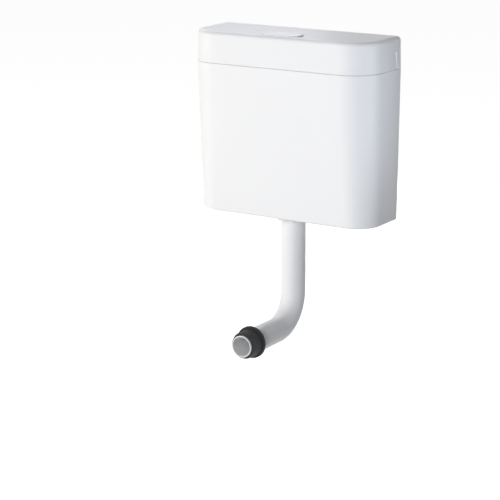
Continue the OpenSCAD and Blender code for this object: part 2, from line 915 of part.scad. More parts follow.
module valve_housing() {
    inner_r = housing_r - housing_wall;
    color("gainsboro")
    at_outlet()
        difference() {
            union() {
                ring(housing_r - housing_foot_w, housing_r, z_flange_top, z_foot_top);
                difference() {
                    ring(inner_r, housing_r, z_foot_top, z_window_top);
                    for (a = [0, 90])
                        rotate(a)
                            block([-housing_r + window_post_w, -2 * housing_r, z_foot_top],
                                [housing_r - window_post_w, 2 * housing_r, z_window_top]);
                }
                ring(inner_r, housing_r, z_window_top, z_chamber_top);
                ring(tube_r + tube_gap, housing_r, z_chamber_top - housing_wall, z_chamber_top);
                for (s = [-1, 1])
                    translate([s * post_x, 0, 0])
                        rod(post_r, z_chamber_top - housing_wall, z_bracket);
            }
            for (s = [-1, 1])
                translate([s * post_x, 0, 0])
                    rod(screw_r + pin_fit, z_bracket - 4 * post_r, z_bracket + cut);
        }
}

module overflow_tube() {
    inner_r = tube_r - tube_wall;
    color("white")
    at_outlet() {
        ring(inner_r, tube_r, z_seat - clamp_t, z_overflow);
        ring(inner_r, tube_r + tube_wall, z_seat - clamp_t, z_seat);
        ring(inner_r, water_r + seat_land, z_seal_top, z_seal_top + clamp_t);
    }
}

module bell_seal() {
    color("dimgray")
    at_outlet()
        ring(tube_r + pin_fit, seal_r, z_seat, z_seal_top);
}

module bell_float() {
    z0 = z_window_top + housing_wall;
    z1 = z_chamber_top - housing_wall - lift - housing_wall;
    sleeve_r = tube_r + pin_fit;
    color("white")
    at_outlet() {
        ring(bell_r - bell_wall, bell_r, z0, z1);
        ring(sleeve_r, bell_r, z1 - bell_wall, z1);
        ring(sleeve_r, sleeve_r + bell_wall, z0, z1);
    }
}

module lift_rod() {
    spokes = 3;
    color("lightgray")
    at_outlet() {
        ring(tube_r - tube_wall, tube_r, z_overflow, z_overflow + crown_h);
        for (i = [0 : spokes - 1])
            rotate(360 * i / spokes + 90)
                block([0, -tube_wall, z_overflow], [tube_r - tube_wall / 2, tube_wall, z_overflow + crown_h]);
        rod(rod_r, z_overflow, z_collar + collar_t);
        rod(collar_r, z_collar, z_collar + collar_t);
    }
}

module lever_bracket() {
    half = lever_w / 2 + side_gap;
    ear_r = hub_r + 1;
    plate_w = post_x + post_r + bracket_t / 2;
    plate_d = 2 * post_r;
    z1 = z_bracket + bracket_t;
    color("lightgray")
    difference() {
        union() {
            block([-plate_w, -outlet_y - plate_d, z_bracket], [plate_w, -outlet_y + plate_d, z1]);
            block([-half - ear_t, y_pivot - ear_r, z_bracket], [half + ear_t, -outlet_y, z1]);
            for (x = [-half - ear_t, half]) {
                block([x, y_pivot - ear_r, z_bracket], [x + ear_t, y_pivot + ear_r, z_pivot]);
                translate([0, y_pivot, z_pivot])
                    rod_x(ear_r, x, x + ear_t);
            }
        }
        at_outlet() {
            rod(rod_r + side_gap, z_bracket - cut, z1 + cut);
            for (s = [-1, 1])
                translate([s * post_x, 0, 0])
                    rod(screw_r + thread_fit, z_bracket - cut, z1 + cut);
        }
        translate([0, y_pivot, z_pivot])
            rod_x(pin_r + pin_fit, -lever_w, lever_w);
    }
}

module bracket_screws() {
    z1 = z_bracket + bracket_t;
    color("silver")
    at_outlet()
        for (s = [-1, 1])
            translate([s * post_x, 0, 0]) {
                rod(screw_head_r, z1, z1 + screw_head_h);
                rod(screw_r, z_bracket - 3 * post_r, z1 + screw_head_h / 2);
            }
}

module lift_lever() {
    front = lever_front / cos(lever_tilt);
    back = lever_back / cos(lever_tilt);
    half = lever_w / 2;
    fork = rod_r + 3 * side_gap;
    color("lightsteelblue")
    translate([0, y_pivot, z_pivot])
        rotate([-lever_tilt, 0, 0])
            difference() {
                union() {
                    rod_x(hub_r, -half, half);
                    block([-half, -front, -lever_t / 2], [half, 0, lever_t / 2]);
                    translate([0, -front, 0])
                        rod_x(nose_r, -half, half);
                    for (x = [-half, fork]) {
                        block([x, 0, -lever_t / 2], [x + half - fork, back, lever_t / 2]);
                        translate([0, back, 0])
                            rod_x(nose_r, x, x + half - fork);
                    }
                }
                rod_x(pin_r + pin_fit, -half - cut, half + cut);
            }
}

module lift_lever_pin() {
    half = lever_w / 2 + side_gap + ear_t;
    color("silver")
    translate([0, y_pivot, z_pivot]) {
        rod_x(pin_r, -half - cut, half + cut);
        rod_x(pin_r + side_gap + cut, half, half + 2 * cut);
    }
}

module fill_valve_body() {
    chamber_r = head_r - head_wall;
    seat_tube_r = guide_bore_r + pipe_wall;
    z_chamber = z_inlet - inlet_bore_r;
    z_tube_seat = z_inlet + head_up / 2;
    color("white")
    difference() {
        union() {
            at_inlet() {
                rod_x(thread_r, x_tail, x_thread);
                rod_x(thread_r - side_gap, x_thread, x_nut);
                rod_x(thread_r, x_nut, x_flange + inlet_flange_t);
                rod_x(inlet_flange_r, x_flange, x_flange + inlet_flange_t);
                rod_x(barrel_r, x_flange, x_head);
            }
            at_head() {
                rod(head_r, z_head, z_head_top);
                rod(guide_r, z_guide_end, z_head);
            }
        }
        at_inlet()
            rod_x(inlet_bore_r, x_tail - cut, x_head - seat_tube_r);
        at_head() {
            rod(guide_bore_r, z_guide_end - cut, z_head_top + cut);
            ring(seat_tube_r, chamber_r, z_chamber, z_head_top + cut);
            rod(chamber_r, z_tube_seat, z_head_top + cut);
        }
    }
}

module inlet_gasket() {
    color("dimgray")
    at_inlet()
        difference() {
            rod_x(inlet_flange_r, x_pad_in, x_flange);
            rod_x(thread_r + thread_fit, x_pad_in - cut, x_flange + cut);
        }
}

module inlet_nut() {
    color("silver")
    at_inlet()
        difference() {
            translate([x_nut, 0, 0])
                rotate([0, 90, 0])
                    cylinder(d = inlet_nut_d, h = inlet_nut_t, $fn = 6);
            rod_x(thread_r + thread_fit, x_nut - cut, x_pad_out + cut);
        }
}

module inlet_strainer() {
    outer = inlet_bore_r - pin_fit;
    inner = inlet_bore_r * 0.7;
    x0 = x_tail + neck_len;
    x1 = x0 + thread_len;
    color("steelblue")
    at_inlet()
        difference() {
            rod_x(outer, x0, x1);
            rod_x(inner, x0 - cut, x1 - neck_len);
            for (i = [0 : 5])
                rotate([60 * i, 0, 0])
                    block([x0 + 2 * neck_len, -side_gap, 0], [x1 - 2 * neck_len, side_gap, outer + cut]);
        }
}

module diaphragm() {
    color("dimgray")
    at_head()
        rod(head_r, z_head_top, z_cap);
}

module valve_cap() {
    color("lightsteelblue")
    difference() {
        union() {
            at_head() {
                ring(head_r + thread_fit, cap_r, z_skirt, z_cap);
                rod(cap_r, z_cap, z_cap_top);
                rod(2 * closing_pin_r, z_cap_top, z_cap_top + cap_guide_h);
            }
            for (s = [-1, 1])
                translate([x_closing, y_fill + s * (closing_hub_w / 2 + side_gap + cap_ear_t / 2), z_closing]) {
                    rod_y(closing_hub_r, -cap_ear_t / 2, cap_ear_t / 2);
                    block([-closing_hub_r, -cap_ear_t / 2, z_cap_top - z_closing - cap_t / 2],
                        [closing_hub_r, cap_ear_t / 2, 0]);
                }
        }
        at_head()
            rod(closing_pin_r + pin_fit, z_cap - cut, z_cap_top + cap_guide_h + cut);
        translate([x_closing, y_fill, z_closing])
            rod_y(closing_pivot_r + pin_fit, -closing_hub_w, closing_hub_w);
    }
}

module closing_pin() {
    color("white")
    at_head() {
        rod(closing_pin_r, z_pin_low, z_pin_top);
        rod(1.5 * closing_pin_r, z_pin_head, z_pin_top);
    }
}

module closing_lever() {
    inner = lever_in / cos(closing_tilt);
    outer = lever_out / cos(closing_tilt);
    half = closing_hub_w / 2;
    eye = rod_nut_d * 0.7;
    slot = float_rod_r + 2 * side_gap;
    color("lightsteelblue")
    translate([x_closing, y_fill, z_closing])
        rotate([0, closing_tilt, 0])
            difference() {
                union() {
                    rod_y(closing_hub_r, -half, half);
                    block([-inner, -half / 2, -closing_lever_t / 2], [outer, half / 2, closing_lever_t / 2]);
                    translate([-inner, 0, 0])
                        rod_y(closing_nose_r, -half / 2, half / 2);
                    block([outer - eye, -half, -closing_lever_t / 2], [outer + eye, half, closing_lever_t / 2]);
                }
                rod_y(closing_pivot_r + pin_fit, -half - cut, half + cut);
                block([outer - slot, -slot, -closing_lever_t], [outer + slot, slot, closing_lever_t]);
            }
}

module closing_lever_pin() {
    half = closing_hub_w / 2 + side_gap + cap_ear_t;
    color("silver")
    translate([x_closing, y_fill, z_closing]) {
        rod_y(closing_pivot_r, -half - cut, half + cut);
        rod_y(closing_pivot_r + cut, -half - 2 * cut, -half);
    }
}

module fill_float() {
    color("ivory")
    difference() {
        translate([x_float + float_w / 2, y_fill, z_float])
            linear_extrude(float_h)
                round_rect(float_w, float_d, float_corner_r);
        at_head()
            rod(guide_r + side_gap, z_float - cut, z_float_top + cut);
        translate([x_rod, y_fill, 0])
            rod(float_rod_r + pin_fit, z_float_top - float_rod_depth, z_float_top + cut);
    }
}

module float_rod() {
    color("white")
    translate([x_rod, y_fill, 0])
        rod(float_rod_r, z_float_top - float_rod_depth, z_eye + nut_half_gap + 3 * rod_nut_h);
}

module rod_nuts() {
    color("steelblue")
    translate([x_rod, y_fill, 0])
        for (z = [z_eye - nut_half_gap - rod_nut_h, z_eye + nut_half_gap])
            difference() {
                translate([0, 0, z])
                    cylinder(d = rod_nut_d, h = rod_nut_h, $fn = 6);
                rod(float_rod_r + pin_fit, z - cut, z + rod_nut_h + cut);
            }
}

module float_stop() {
    color("lightsteelblue")
    at_head()
        ring(guide_r + pin_fit, stop_r, z_stop, z_stop + stop_h);
}

tank();
tank_liner();
lid();
push_button();
button_frame();
frame_screws();
button_springs();
valve_seat();
seat_gasket();
seat_nut();
valve_housing();
overflow_tube();
bell_seal();
bell_float();
lift_rod();
lever_bracket();
bracket_screws();
lift_lever();
lift_lever_pin();
fill_valve_body();
inlet_gasket();
inlet_nut();
inlet_strainer();
diaphragm();
valve_cap();
closing_pin();
closing_lever();
closing_lever_pin();
fill_float();
float_rod();
rod_nuts();
float_stop();
flush_bend();
flush_nut();
flush_seal();
pan_connector();
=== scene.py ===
"""Finished surfaces, materials and studio of a wall-hung toilet cistern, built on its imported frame.

Shapes are worked out in millimetres in the frame's own axes and put into the meshes in metres.
+X is the right-hand side seen from the front, -Y points to the front and +Z is up.
"""

import json
import math
from types import SimpleNamespace

import bpy
import numpy as np
from bpy.props import FloatProperty, FloatVectorProperty, IntProperty, PointerProperty
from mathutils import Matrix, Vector


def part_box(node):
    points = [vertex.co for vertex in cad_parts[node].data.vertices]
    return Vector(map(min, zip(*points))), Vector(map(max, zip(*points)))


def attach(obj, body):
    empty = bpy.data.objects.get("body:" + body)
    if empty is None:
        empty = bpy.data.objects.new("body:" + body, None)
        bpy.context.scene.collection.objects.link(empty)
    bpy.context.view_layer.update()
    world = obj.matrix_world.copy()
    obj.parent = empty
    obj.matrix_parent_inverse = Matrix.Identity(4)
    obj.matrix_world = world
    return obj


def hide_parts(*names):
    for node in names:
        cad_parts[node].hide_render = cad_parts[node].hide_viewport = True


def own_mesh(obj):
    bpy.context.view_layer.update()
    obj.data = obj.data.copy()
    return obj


bl_info = {
    "name": "Toilet cistern finish",
    "version": (1, 0, 0),
    "blender": (4, 5, 0),
    "location": "View3D > Sidebar > Cistern",
    "description": "Smooth surfaces, materials and studio for a wall-hung toilet cistern",
    "category": "Object",
}

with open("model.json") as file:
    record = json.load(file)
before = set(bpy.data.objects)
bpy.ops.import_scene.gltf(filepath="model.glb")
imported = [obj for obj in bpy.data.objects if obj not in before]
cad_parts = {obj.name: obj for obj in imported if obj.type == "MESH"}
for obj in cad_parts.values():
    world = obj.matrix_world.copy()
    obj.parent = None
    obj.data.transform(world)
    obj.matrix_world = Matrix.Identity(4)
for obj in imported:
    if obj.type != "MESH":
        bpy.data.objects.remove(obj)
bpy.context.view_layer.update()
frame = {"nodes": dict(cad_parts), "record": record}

MM = 0.001
SMOOTH_ANGLE = math.radians(32)
CORNER_STEPS = 40
BACK_STEPS = 4
# Chamfer of hidden edges, and reach of a cutter past what it cuts, in millimetres
NICK = 0.5
CUT = 5


def node_box(node):
    """Lowest and highest corner of a frame node, in millimetres."""
    return [np.array(corner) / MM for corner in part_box(node)]


def node_radius(node):
    """Half the size of a round frame node along X, in millimetres."""
    lo, hi = node_box(node)
    return (hi[0] - lo[0]) / 2


LID_LO, LID_HI = node_box("lid")
TANK_LO = node_box("tank")[0]
BUTTON_LO, BUTTON_HI = node_box("push_button")
GASKET_LO, GASKET_HI = node_box("inlet_gasket")
OUTLET = np.mean(node_box("valve_seat"), axis=0)[:2]
BUTTON_MID = np.mean([BUTTON_LO, BUTTON_HI], axis=0)[:2]
INLET_MID = np.mean([GASKET_LO, GASKET_HI], axis=0)


# Sizes, finishes and studio that a user may change


def length(label, text, default_mm):
    """Length property, given in millimetres and kept in metres."""
    value = default_mm * MM
    return FloatProperty(name=label, description=text, default=value, min=0, unit="LENGTH", precision=4)


def angle(label, text, default_deg):
    """Angle property, given in degrees and kept in radians."""
    return FloatProperty(name=label, description=text, default=math.radians(default_deg), subtype="ANGLE")


def power(label, text, default_watt):
    """Lamp power property."""
    return FloatProperty(name=label, description=text, default=default_watt, min=0, unit="POWER")


def colour(label, text, default):
    """Colour property."""
    limits = {"size": 3, "min": 0, "max": 1, "subtype": "COLOR"}
    return FloatVectorProperty(name=label, description=text, default=default, **limits)


class CisternSizes(bpy.types.PropertyGroup):
    """Sizes of the surfaces that the frame's boxes don't give."""

    corner: length("Corner radius", "Plan radius of the front corners at the rim", 62)
    corner_low: length("Low corner radius", "Plan radius of the front corners at the underside", 54)
    side_draft: angle("Side draft", "Lean of each side wall", 0.5)
    front_draft: angle("Front draft", "Lean of the front wall", 3.9)
    back_corner: length("Back corner radius", "Plan radius of the two corners at the wall", 3)
    bottom_edge: length("Bottom edge", "Radius of the tank's bottom edge", 5)
    top_edge: length("Top edge", "Radius of the lid's top edge", 8)
    inner_edge: length("Inner edge", "Radius of the tank's and the lid's inner edges", 3)
    lid_draft: angle("Lid draft", "Lean of the lid's front and sides", 1.8)
    fine_edge: length("Fine edge", "Radius of the small moulded edges", 0.8)
    tank_wall: length("Tank wall", "Thickness of the tank walls", 3.5)
    tank_floor: length("Tank floor", "Thickness of the tank floor", 4)
    lid_wall: length("Lid wall", "Thickness of the lid", 3)
    lip_gap: length("Lip gap", "Clearance between the tank's locating lip and the lid", 0.5)
    lip_wall: length("Lip wall", "Thickness of the locating lip", 2.3)
    lip_height: length("Lip height", "Height of the locating lip above the seam", 8)
    band_height: length("Rim band", "Height of the thick band inside the rim", 14)
    seam: length("Seam", "Open seam between the lid and the tank", 0.5)
    grip_width: length("Grip width", "Width of the grip recess on each side of the lid", 23)
    grip_height: length("Grip height", "Height of the grip recess", 33)
    grip_depth: length("Grip depth", "Depth of the grip recess at its top; it fades downwards", 1.6)
    grip_back: length("Grip place", "Distance of the grip recess from the wall", 19)
    button_gap: length("Button gap", "Gap between the button and the lid", 0.6)
    button_corner: length("Button corner", "Plan radius of the button's corners", 19)
    button_edge: length("Button edge", "Radius of the button's top edge", 1.2)
    button_wall: length("Button wall", "Thickness of the button's top and sides", 3)
    button_flange: length("Button flange", "Width and height of the flange that keeps the button in", 2.5)
    button_play: length("Button play", "Play of the flange under the lid", 0.3)
    button_fall: length("Button fall", "Drop of the button's top from back to front", 1.2)
    button_sink: length("Button sink", "Depth of the button's top under its frame node's top", 1.8)
    spring_turns: IntProperty(name="Spring turns", description="Turns of a return spring", default=6, min=2)
    well_radius: length("Well radius", "Radius of the recess under the outlet", 42)
    well_height: length("Well height", "Depth of the recess under the outlet", 26)
    outlet_hole: length("Outlet hole", "Radius of the holes for the flush valve's tail", 30.15)
    slot_spacing: length("Slot spacing", "Distance between the two wall slots", 260)
    slot_width: length("Slot width", "Width of a wall slot", 9)
    slot_length: length("Slot length", "Length of a wall slot", 16)
    inlet_hole: length("Inlet hole", "Radius of the holes for the inlet thread", 10.6)
    thread_pitch: length("Thread pitch", "Pitch of the inlet thread", 1.814)
    head_radius: length("Head radius", "Radius of the fill valve's head", 16)
    guide_radius: length("Guide radius", "Radius of the guide tube under the head", 9)
    guide_bore: length("Guide bore", "Radius of the guide tube's bore", 6)
    liner_wall: length("Liner wall", "Wall of the foam liner", 8)
    liner_floor: length("Liner floor", "Floor of the foam liner", 10)
    liner_gap: length("Liner gap", "Gap between the liner and the tank", 0.3)
    float_corner: length("Float corner", "Plan radius of the float's corners", 10)
    float_edge: length("Float edge", "Radius of the float's edges", 4)
    float_bore: length("Float bore", "Radius of the float's bore", 9.5)
    pipe_wall: length("Pipe wall", "Wall of the flush pipe", 2.2)
    bend_radius: length("Bend radius", "Radius of the flush bend along its axis", 70)
    spigot: length("Spigot diameter", "Diameter of the flush bend's lower end", 44)
    spigot_length: length("Spigot length", "Length of the spigot", 62)
    taper_length: length("Taper length", "Length of the taper to the spigot", 12)
    nut_floor: length("Nut floor", "Thickness of the flush nut's end", 4)
    sleeve_collar: length("Sleeve collar", "Width and height of the pan sleeve's collar", 5)
    sleeve_groove: length("Sleeve groove", "Depth of the pan sleeve's grooves", 0.9)
    screw_head: length("Screw head", "Diameter of a screw's head", 6.6)
    screw_head_height: length("Screw head height", "Height of a screw's head", 2.4)
    screw_shank: length("Screw shank", "Diameter of a screw's shank", 3)


class CisternFinish(bpy.types.PropertyGroup):
    """Colours of the finishes."""

    shell: colour("Shell", "White of the tank, lid and button", (0.86, 0.86, 0.862))
    pipe: colour("Pipe", "White of the flush pipe and its nut", (0.85, 0.85, 0.852))
    pale: colour("Pale plastic", "White of the valve parts", (0.76, 0.77, 0.77))
    ivory: colour("Ivory plastic", "Off-white of the fill valve", (0.78, 0.77, 0.72))
    grey: colour("Grey plastic", "Grey of the frame, bracket and lift rod", (0.36, 0.38, 0.4))
    blue: colour("Blue plastic", "Blue of the levers, cap and nuts", (0.05, 0.16, 0.34))
    foam: colour("Foam", "White of the beaded foam", (0.84, 0.84, 0.82))
    rubber: colour("Rubber", "Black of the seals and the pan sleeve", (0.022, 0.022, 0.024))
    steel: colour("Steel", "Screws, pins and springs", (0.6, 0.6, 0.61))
    nickel: colour("Nickel", "Plating of the inlet nut", (0.66, 0.63, 0.58))


class CisternStudio(bpy.types.PropertyGroup):
    """Light, floor and camera of the studio."""

    front: power("Front lamp", "Power of the large cool lamp in front", 96)
    left: power("Left lamp", "Power of the large warm lamp on the front left", 76)
    upper: power("Upper lamp", "Power of the lamp above and behind on the left", 6.8)
    right: power("Right lamp", "Power of the tall narrow lamp near the right side", 0.147)
    back: power("Back lamp", "Power of the lamp behind, for views from the wall side", 40)
    dome: FloatProperty(name="Dome", description="Strength of the soft light from all sides", default=0.08)
    glow: FloatProperty(name="Floor glow", description="Brightness of the floor by itself", default=0.9)
    floor_level: FloatProperty(name="Floor", description="Floor height", default=-0.85, unit="LENGTH")
    lens: FloatProperty(name="Lens", description="Focal length in millimetres", default=131.72)


def sizes(context):
    """The cistern's sizes by name: lengths in millimetres, angles in radians and counts as they are."""
    group = context.scene.cistern_sizes
    values = {}
    for name in CisternSizes.__annotations__:
        value = getattr(group, name)
        values[name] = value / MM if group.bl_rna.properties[name].unit == "LENGTH" else value
    return SimpleNamespace(**values)


# Shapes


def put_mesh(name, points, faces):
    """New object at the origin whose mesh holds the points, in millimetres, and the faces."""
    mesh = bpy.data.meshes.new(name)
    mesh.from_pydata((np.asarray(points) * MM).tolist(), [], faces)
    mesh.validate()
    obj = bpy.data.objects.new(name, mesh)
    bpy.context.scene.collection.objects.link(obj)
    smooth(obj)
    return obj


def smooth(obj):
    """Smooth shading that breaks at edges sharper than SMOOTH_ANGLE."""
    obj.data.shade_smooth()
    obj.data.set_sharp_from_angle(angle=SMOOTH_ANGLE)


def skin_faces(rows, cols, wrap):
    """Quads of a grid of closed rings; with wrap the last ring joins the first."""
    i = np.arange(rows if wrap else rows - 1)[:, None]
    j = np.arange(cols)[None, :]
    up = (i + 1) % rows
    right = (j + 1) % cols
    quads = np.stack([i * cols + j, i * cols + right, up * cols + right, up * cols + j], axis=-1)
    return quads.reshape(-1, 4).tolist()


def skin(name, rings):
    """Closed tube-like surface over rings of equal length whose last ring joins the first.
    Rings run anticlockwise seen from above and climb on the outside, so faces point outwards."""
    rings = np.asarray(rings)
    return put_mesh(name, rings.reshape(-1, 3), skin_faces(*rings.shape[:2], True))


def capped(name, rings):
    """Closed surface over open rings: the first and last ring are filled by fans from their middles."""
    rings = np.asarray(rings)
    rows, cols = rings.shape[:2]
    points = np.vstack([rings.reshape(-1, 3), rings[0].mean(0), rings[-1].mean(0)])
    j = np.arange(cols)
    right = (j + 1) % cols
    low = np.column_stack([np.full(cols, rows * cols), right, j])
    top = (rows - 1) * cols
    high = np.column_stack([np.full(cols, rows * cols + 1), top + j, top + right])
    return put_mesh(name, points, skin_faces(rows, cols, False) + low.tolist() + high.tolist())


def flat_ring(xy, z):
    """Outline lifted to a height."""
    return np.column_stack([xy, np.broadcast_to(z, len(xy))])


def arc(cx, cy, radius, start, end, steps=4):
    """Points on a circle from one angle to another, in degrees."""
    a = np.radians(np.linspace(start, end, steps + 1))
    return np.column_stack([cx + radius * np.cos(a), cy + radius * np.sin(a)])


def circle(count):
    """Points of a circle of radius 1 about the origin, anticlockwise."""
    return arc(0, 0, 1, 0, 360, count)[:-1]


def between(a, b, shares):
    """Points on the straight line from a to b at the given shares of its length."""
    return a + (b - a) * shares[:, None]


def fanned(count, half_angle, margin):
    """Shares of a line that are evenly spread in angle, seen from in front of its middle.
    One share lies close to each end, by the margin."""
    a = np.radians(np.linspace(-half_angle, half_angle, count))
    shares = 0.5 + 0.5 * np.tan(a) / np.tan(np.radians(half_angle))
    inner = shares[(shares > 1.5 * margin) & (shares < 1 - 1.5 * margin)]
    return np.concatenate([[margin], inner, [1 - margin]])


def eased(share):
    """Share held between 0 and 1, with a level start and end."""
    share = np.clip(share, 0, 1)
    return share * share * (3 - 2 * share)


def d_outline(half_width, front, back, corner, back_corner, side, front_shares, back_shares):
    """D-shaped outline, anticlockwise from the back left, with two large round front corners.
    The straight runs carry points at fixed shares, so that outlines of any size match point by point."""
    left_back = arc(-half_width + back_corner, -back - back_corner, back_corner, 90, 180, BACK_STEPS)
    left_front = arc(-half_width + corner, -front + corner, corner, 180, 270, CORNER_STEPS)
    left = np.vstack([left_back, between(left_back[-1], left_front[0], side), left_front])
    right = left[::-1] * (-1, 1)
    ahead = between(left[-1], right[0], front_shares)
    return np.vstack([left, ahead, right, between(right[-1], left[0], back_shares)])


def round_rect(half_width, half_depth, radius, steps):
    """Round-cornered rectangle about the origin, anticlockwise."""
    x, y = half_width - radius, half_depth - radius
    corners = ((x, -y, 270), (x, y, 0), (-x, y, 90), (-x, -y, 180))
    return np.vstack([arc(cx, cy, radius, start, start + 90, steps) for cx, cy, start in corners])


def round_rect_reach(direction, half_width, half_depth, radius):
    """Points of a round-cornered rectangle in the given directions from its middle.
    The signed distance to the outline is halved in until it vanishes."""
    unit = direction / np.linalg.norm(direction, axis=1)[:, None]
    lo = np.zeros(len(unit))
    hi = np.full(len(unit), half_width + half_depth)
    for _ in range(48):
        mid = (lo + hi) / 2
        q = np.abs(unit * mid[:, None]) - np.array([half_width - radius, half_depth - radius])
        outside = np.hypot(*np.maximum(q, 0).T) + np.minimum(q.max(1), 0) - radius > 0
        hi = np.where(outside, mid, hi)
        lo = np.where(outside, lo, mid)
    return unit * lo[:, None]


def divided(outline, parts):
    """Closed outline with every side divided into equal parts."""
    shares = np.linspace(0, 1, parts, endpoint=False)[:, None, None]
    points = outline + (np.roll(outline, -1, axis=0) - outline) * shares
    return points.transpose(1, 0, 2).reshape(-1, 2)


def round_corners(points, radius, steps=3):
    """Closed outline whose corners are cut back by a radius and bridged by a quadratic curve."""
    points = np.asarray(points, float)
    ends = []
    for turn in (1, -1):
        side = np.roll(points, turn, axis=0) - points
        ends.append(points + side * np.minimum(radius / np.linalg.norm(side, axis=1), 0.45)[:, None])
    start, end = ends
    t = np.linspace(0, 1, steps + 1)[None, :, None]
    curve = start[:, None] * (1 - t) ** 2 + 2 * points[:, None] * t * (1 - t) + end[:, None] * t**2
    return curve.reshape(-1, 2)


def turned(name, profile, origin, axis, count=72, ripple=None):
    """Lathe: a closed outline of (distance along the axis, radius) turned about a line.
    With ripple, a function of distance, radius and angle gives the radius instead."""
    profile = np.asarray(profile, float)
    a = np.linspace(0, 2 * np.pi, count, endpoint=False)
    along = np.repeat(profile[:, :1], count, axis=1)
    radius = np.repeat(profile[:, 1:], count, axis=1)
    if ripple:
        radius = ripple(along, radius, a[None, :])
    axis = np.asarray(axis, float)
    u = np.array([0.0, 0.0, 1.0]) if abs(axis[2]) < 0.5 else np.array([1.0, 0.0, 0.0])
    v = np.cross(axis, u)
    spokes = np.cos(a)[:, None] * u + np.sin(a)[:, None] * v
    rings = np.asarray(origin, float) + along[..., None] * axis + radius[..., None] * spokes[None]
    return skin(name, rings)


def prism(name, outline, lo, hi, axis):
    """Closed prism: an outline in the two other axes, carried along an axis from lo to hi."""
    other = [k for k in range(3) if k != axis]
    rings = np.zeros((2, len(outline), 3))
    rings[:, :, other] = outline
    rings[0, :, axis], rings[1, :, axis] = (hi, lo) if axis == 1 else (lo, hi)
    return capped(name, rings)


def carve(obj, tool, operation):
    """Boolean of a piece with a helper solid, applied to the piece's mesh; the helper is removed."""
    cut = obj.modifiers.new("carve", "BOOLEAN")
    cut.operation = operation
    cut.solver = "EXACT"
    cut.object = tool
    bpy.context.view_layer.update()
    done = obj.evaluated_get(bpy.context.evaluated_depsgraph_get())
    mesh = bpy.data.meshes.new_from_object(done)
    obj.modifiers.remove(cut)
    old = obj.data
    obj.data = mesh
    mesh.name = obj.name
    bpy.data.meshes.remove(old)
    bpy.data.meshes.remove(tool.data)
    smooth(obj)


def dress(obj, body, slot, *nodes):
    """Gives a new piece its body and the material of its slot in the record, and hides the nodes that it
    stands for.
    """
    obj.data.materials.clear()
    obj.data.materials.append(finish_for(slot))
    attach(obj, body)
    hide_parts(*nodes)


# Materials


def add(tree, kind, inputs=None, **settings):
    """New shader node with its settings; its inputs get values or the outputs of other nodes."""
    node = tree.nodes.new("ShaderNode" + kind)
    for label, value in settings.items():
        setattr(node, label, value)
    for label, value in (inputs or {}).items():
        if isinstance(value, bpy.types.NodeSocket):
            tree.links.new(value, node.inputs[label])
        else:
            node.inputs[label].default_value = value
    return node


def maths(tree, operation, a, b):
    """Result of a Math node over two sockets or numbers."""
    return add(tree, "Math", {0: a, 1: b}, operation=operation).outputs[0]


def noise(tree, vector, scale, detail):
    """Noise value between 0 and 1."""
    return add(tree, "TexNoise", {"Vector": vector, "Scale": scale, "Detail": detail}).outputs["Fac"]


def mixed(tree, factor, low, high):
    """Colour between two colours or colour sockets."""
    return add(tree, "Mix", {"Factor": factor, "A": low, "B": high}, data_type="RGBA").outputs["Result"]


def new_group(name, inputs, outputs):
    """Empty shader node group with a Vector input, value inputs and value outputs.
    Gives its tree, its input sockets and a function that links results to outputs by name."""
    tree = bpy.data.node_groups.new(name, "ShaderNodeTree")
    tree.interface.new_socket("Vector", in_out="INPUT", socket_type="NodeSocketVector")
    for way, labels in (("INPUT", inputs), ("OUTPUT", outputs)):
        for label in labels:
            tree.interface.new_socket(label, in_out=way, socket_type="NodeSocketFloat")
    given = tree.nodes.new("NodeGroupInput").outputs
    results = tree.nodes.new("NodeGroupOutput").inputs

    def put_out(**sockets):
        for label, socket in sockets.items():
            tree.links.new(socket, results[label])

    return tree, given, put_out


def moulded_skin():
    """Moulded plastic or rubber: slow tone changes, the soft waves of a mould's polish and a fine grain."""
    inputs = ["Tone", "Wave", "Grain", "Grain share"]
    tree, given, put_out = new_group("moulded_skin", inputs, ["Mask", "Rough", "Height"])
    tone = noise(tree, given["Vector"], given["Tone"], 2)
    wave = noise(tree, given["Vector"], given["Wave"], 1)
    grain = noise(tree, given["Vector"], given["Grain"], 3)
    fine = maths(tree, "MULTIPLY", grain, given["Grain share"])
    slow = maths(tree, "MULTIPLY", wave, maths(tree, "SUBTRACT", 1.0, given["Grain share"]))
    rough = maths(tree, "MULTIPLY", maths(tree, "ADD", tone, grain), 0.5)
    put_out(Mask=tone, Rough=rough, Height=maths(tree, "ADD", fine, slow))
    return tree


def bead_foam():
    """Moulded bead foam: rounded cells with their own tone, parted by fine creases, which are grooves in
    the bump and painted shade in the colour.
    """
    tree, given, put_out = new_group("bead_foam", ["Beads"], ["Mask", "Rough", "Crease", "Height"])
    cells = {"Vector": given["Vector"], "Scale": given["Beads"]}
    cell = add(tree, "TexVoronoi", cells)
    edge = add(tree, "TexVoronoi", cells, feature="DISTANCE_TO_EDGE")
    tone = add(tree, "SeparateColor", {"Color": cell.outputs["Color"]}).outputs[0]
    # Crease mask: grooves for the bump, and painted shade along the creases in the colour
    crease_shade = add(tree, "MapRange", {"Value": edge.outputs["Distance"], "From Max": 0.12}).outputs["Result"]
    dome = maths(tree, "SUBTRACT", 1.0, maths(tree, "POWER", cell.outputs["Distance"], 2.0))
    put_out(Mask=tone, Rough=tone, Crease=crease_shade, Height=maths(tree, "MULTIPLY", dome, crease_shade))
    return tree


def drawn_metal():
    """Drawn or turned metal: fine lines round the part, and slow patches of tarnish."""
    tree, given, put_out = new_group("drawn_metal", ["Lines", "Patches"], ["Mask", "Rough", "Height"])
    squeeze = add(tree, "Mapping", {"Vector": given["Vector"], "Scale": (0.15, 0.15, 1.0)})
    lines = noise(tree, squeeze.outputs["Vector"], given["Lines"], 2)
    patches = noise(tree, given["Vector"], given["Patches"], 3)
    rough = maths(tree, "MULTIPLY", maths(tree, "ADD", lines, patches), 0.5)
    put_out(Mask=patches, Rough=rough, Height=lines)
    return tree
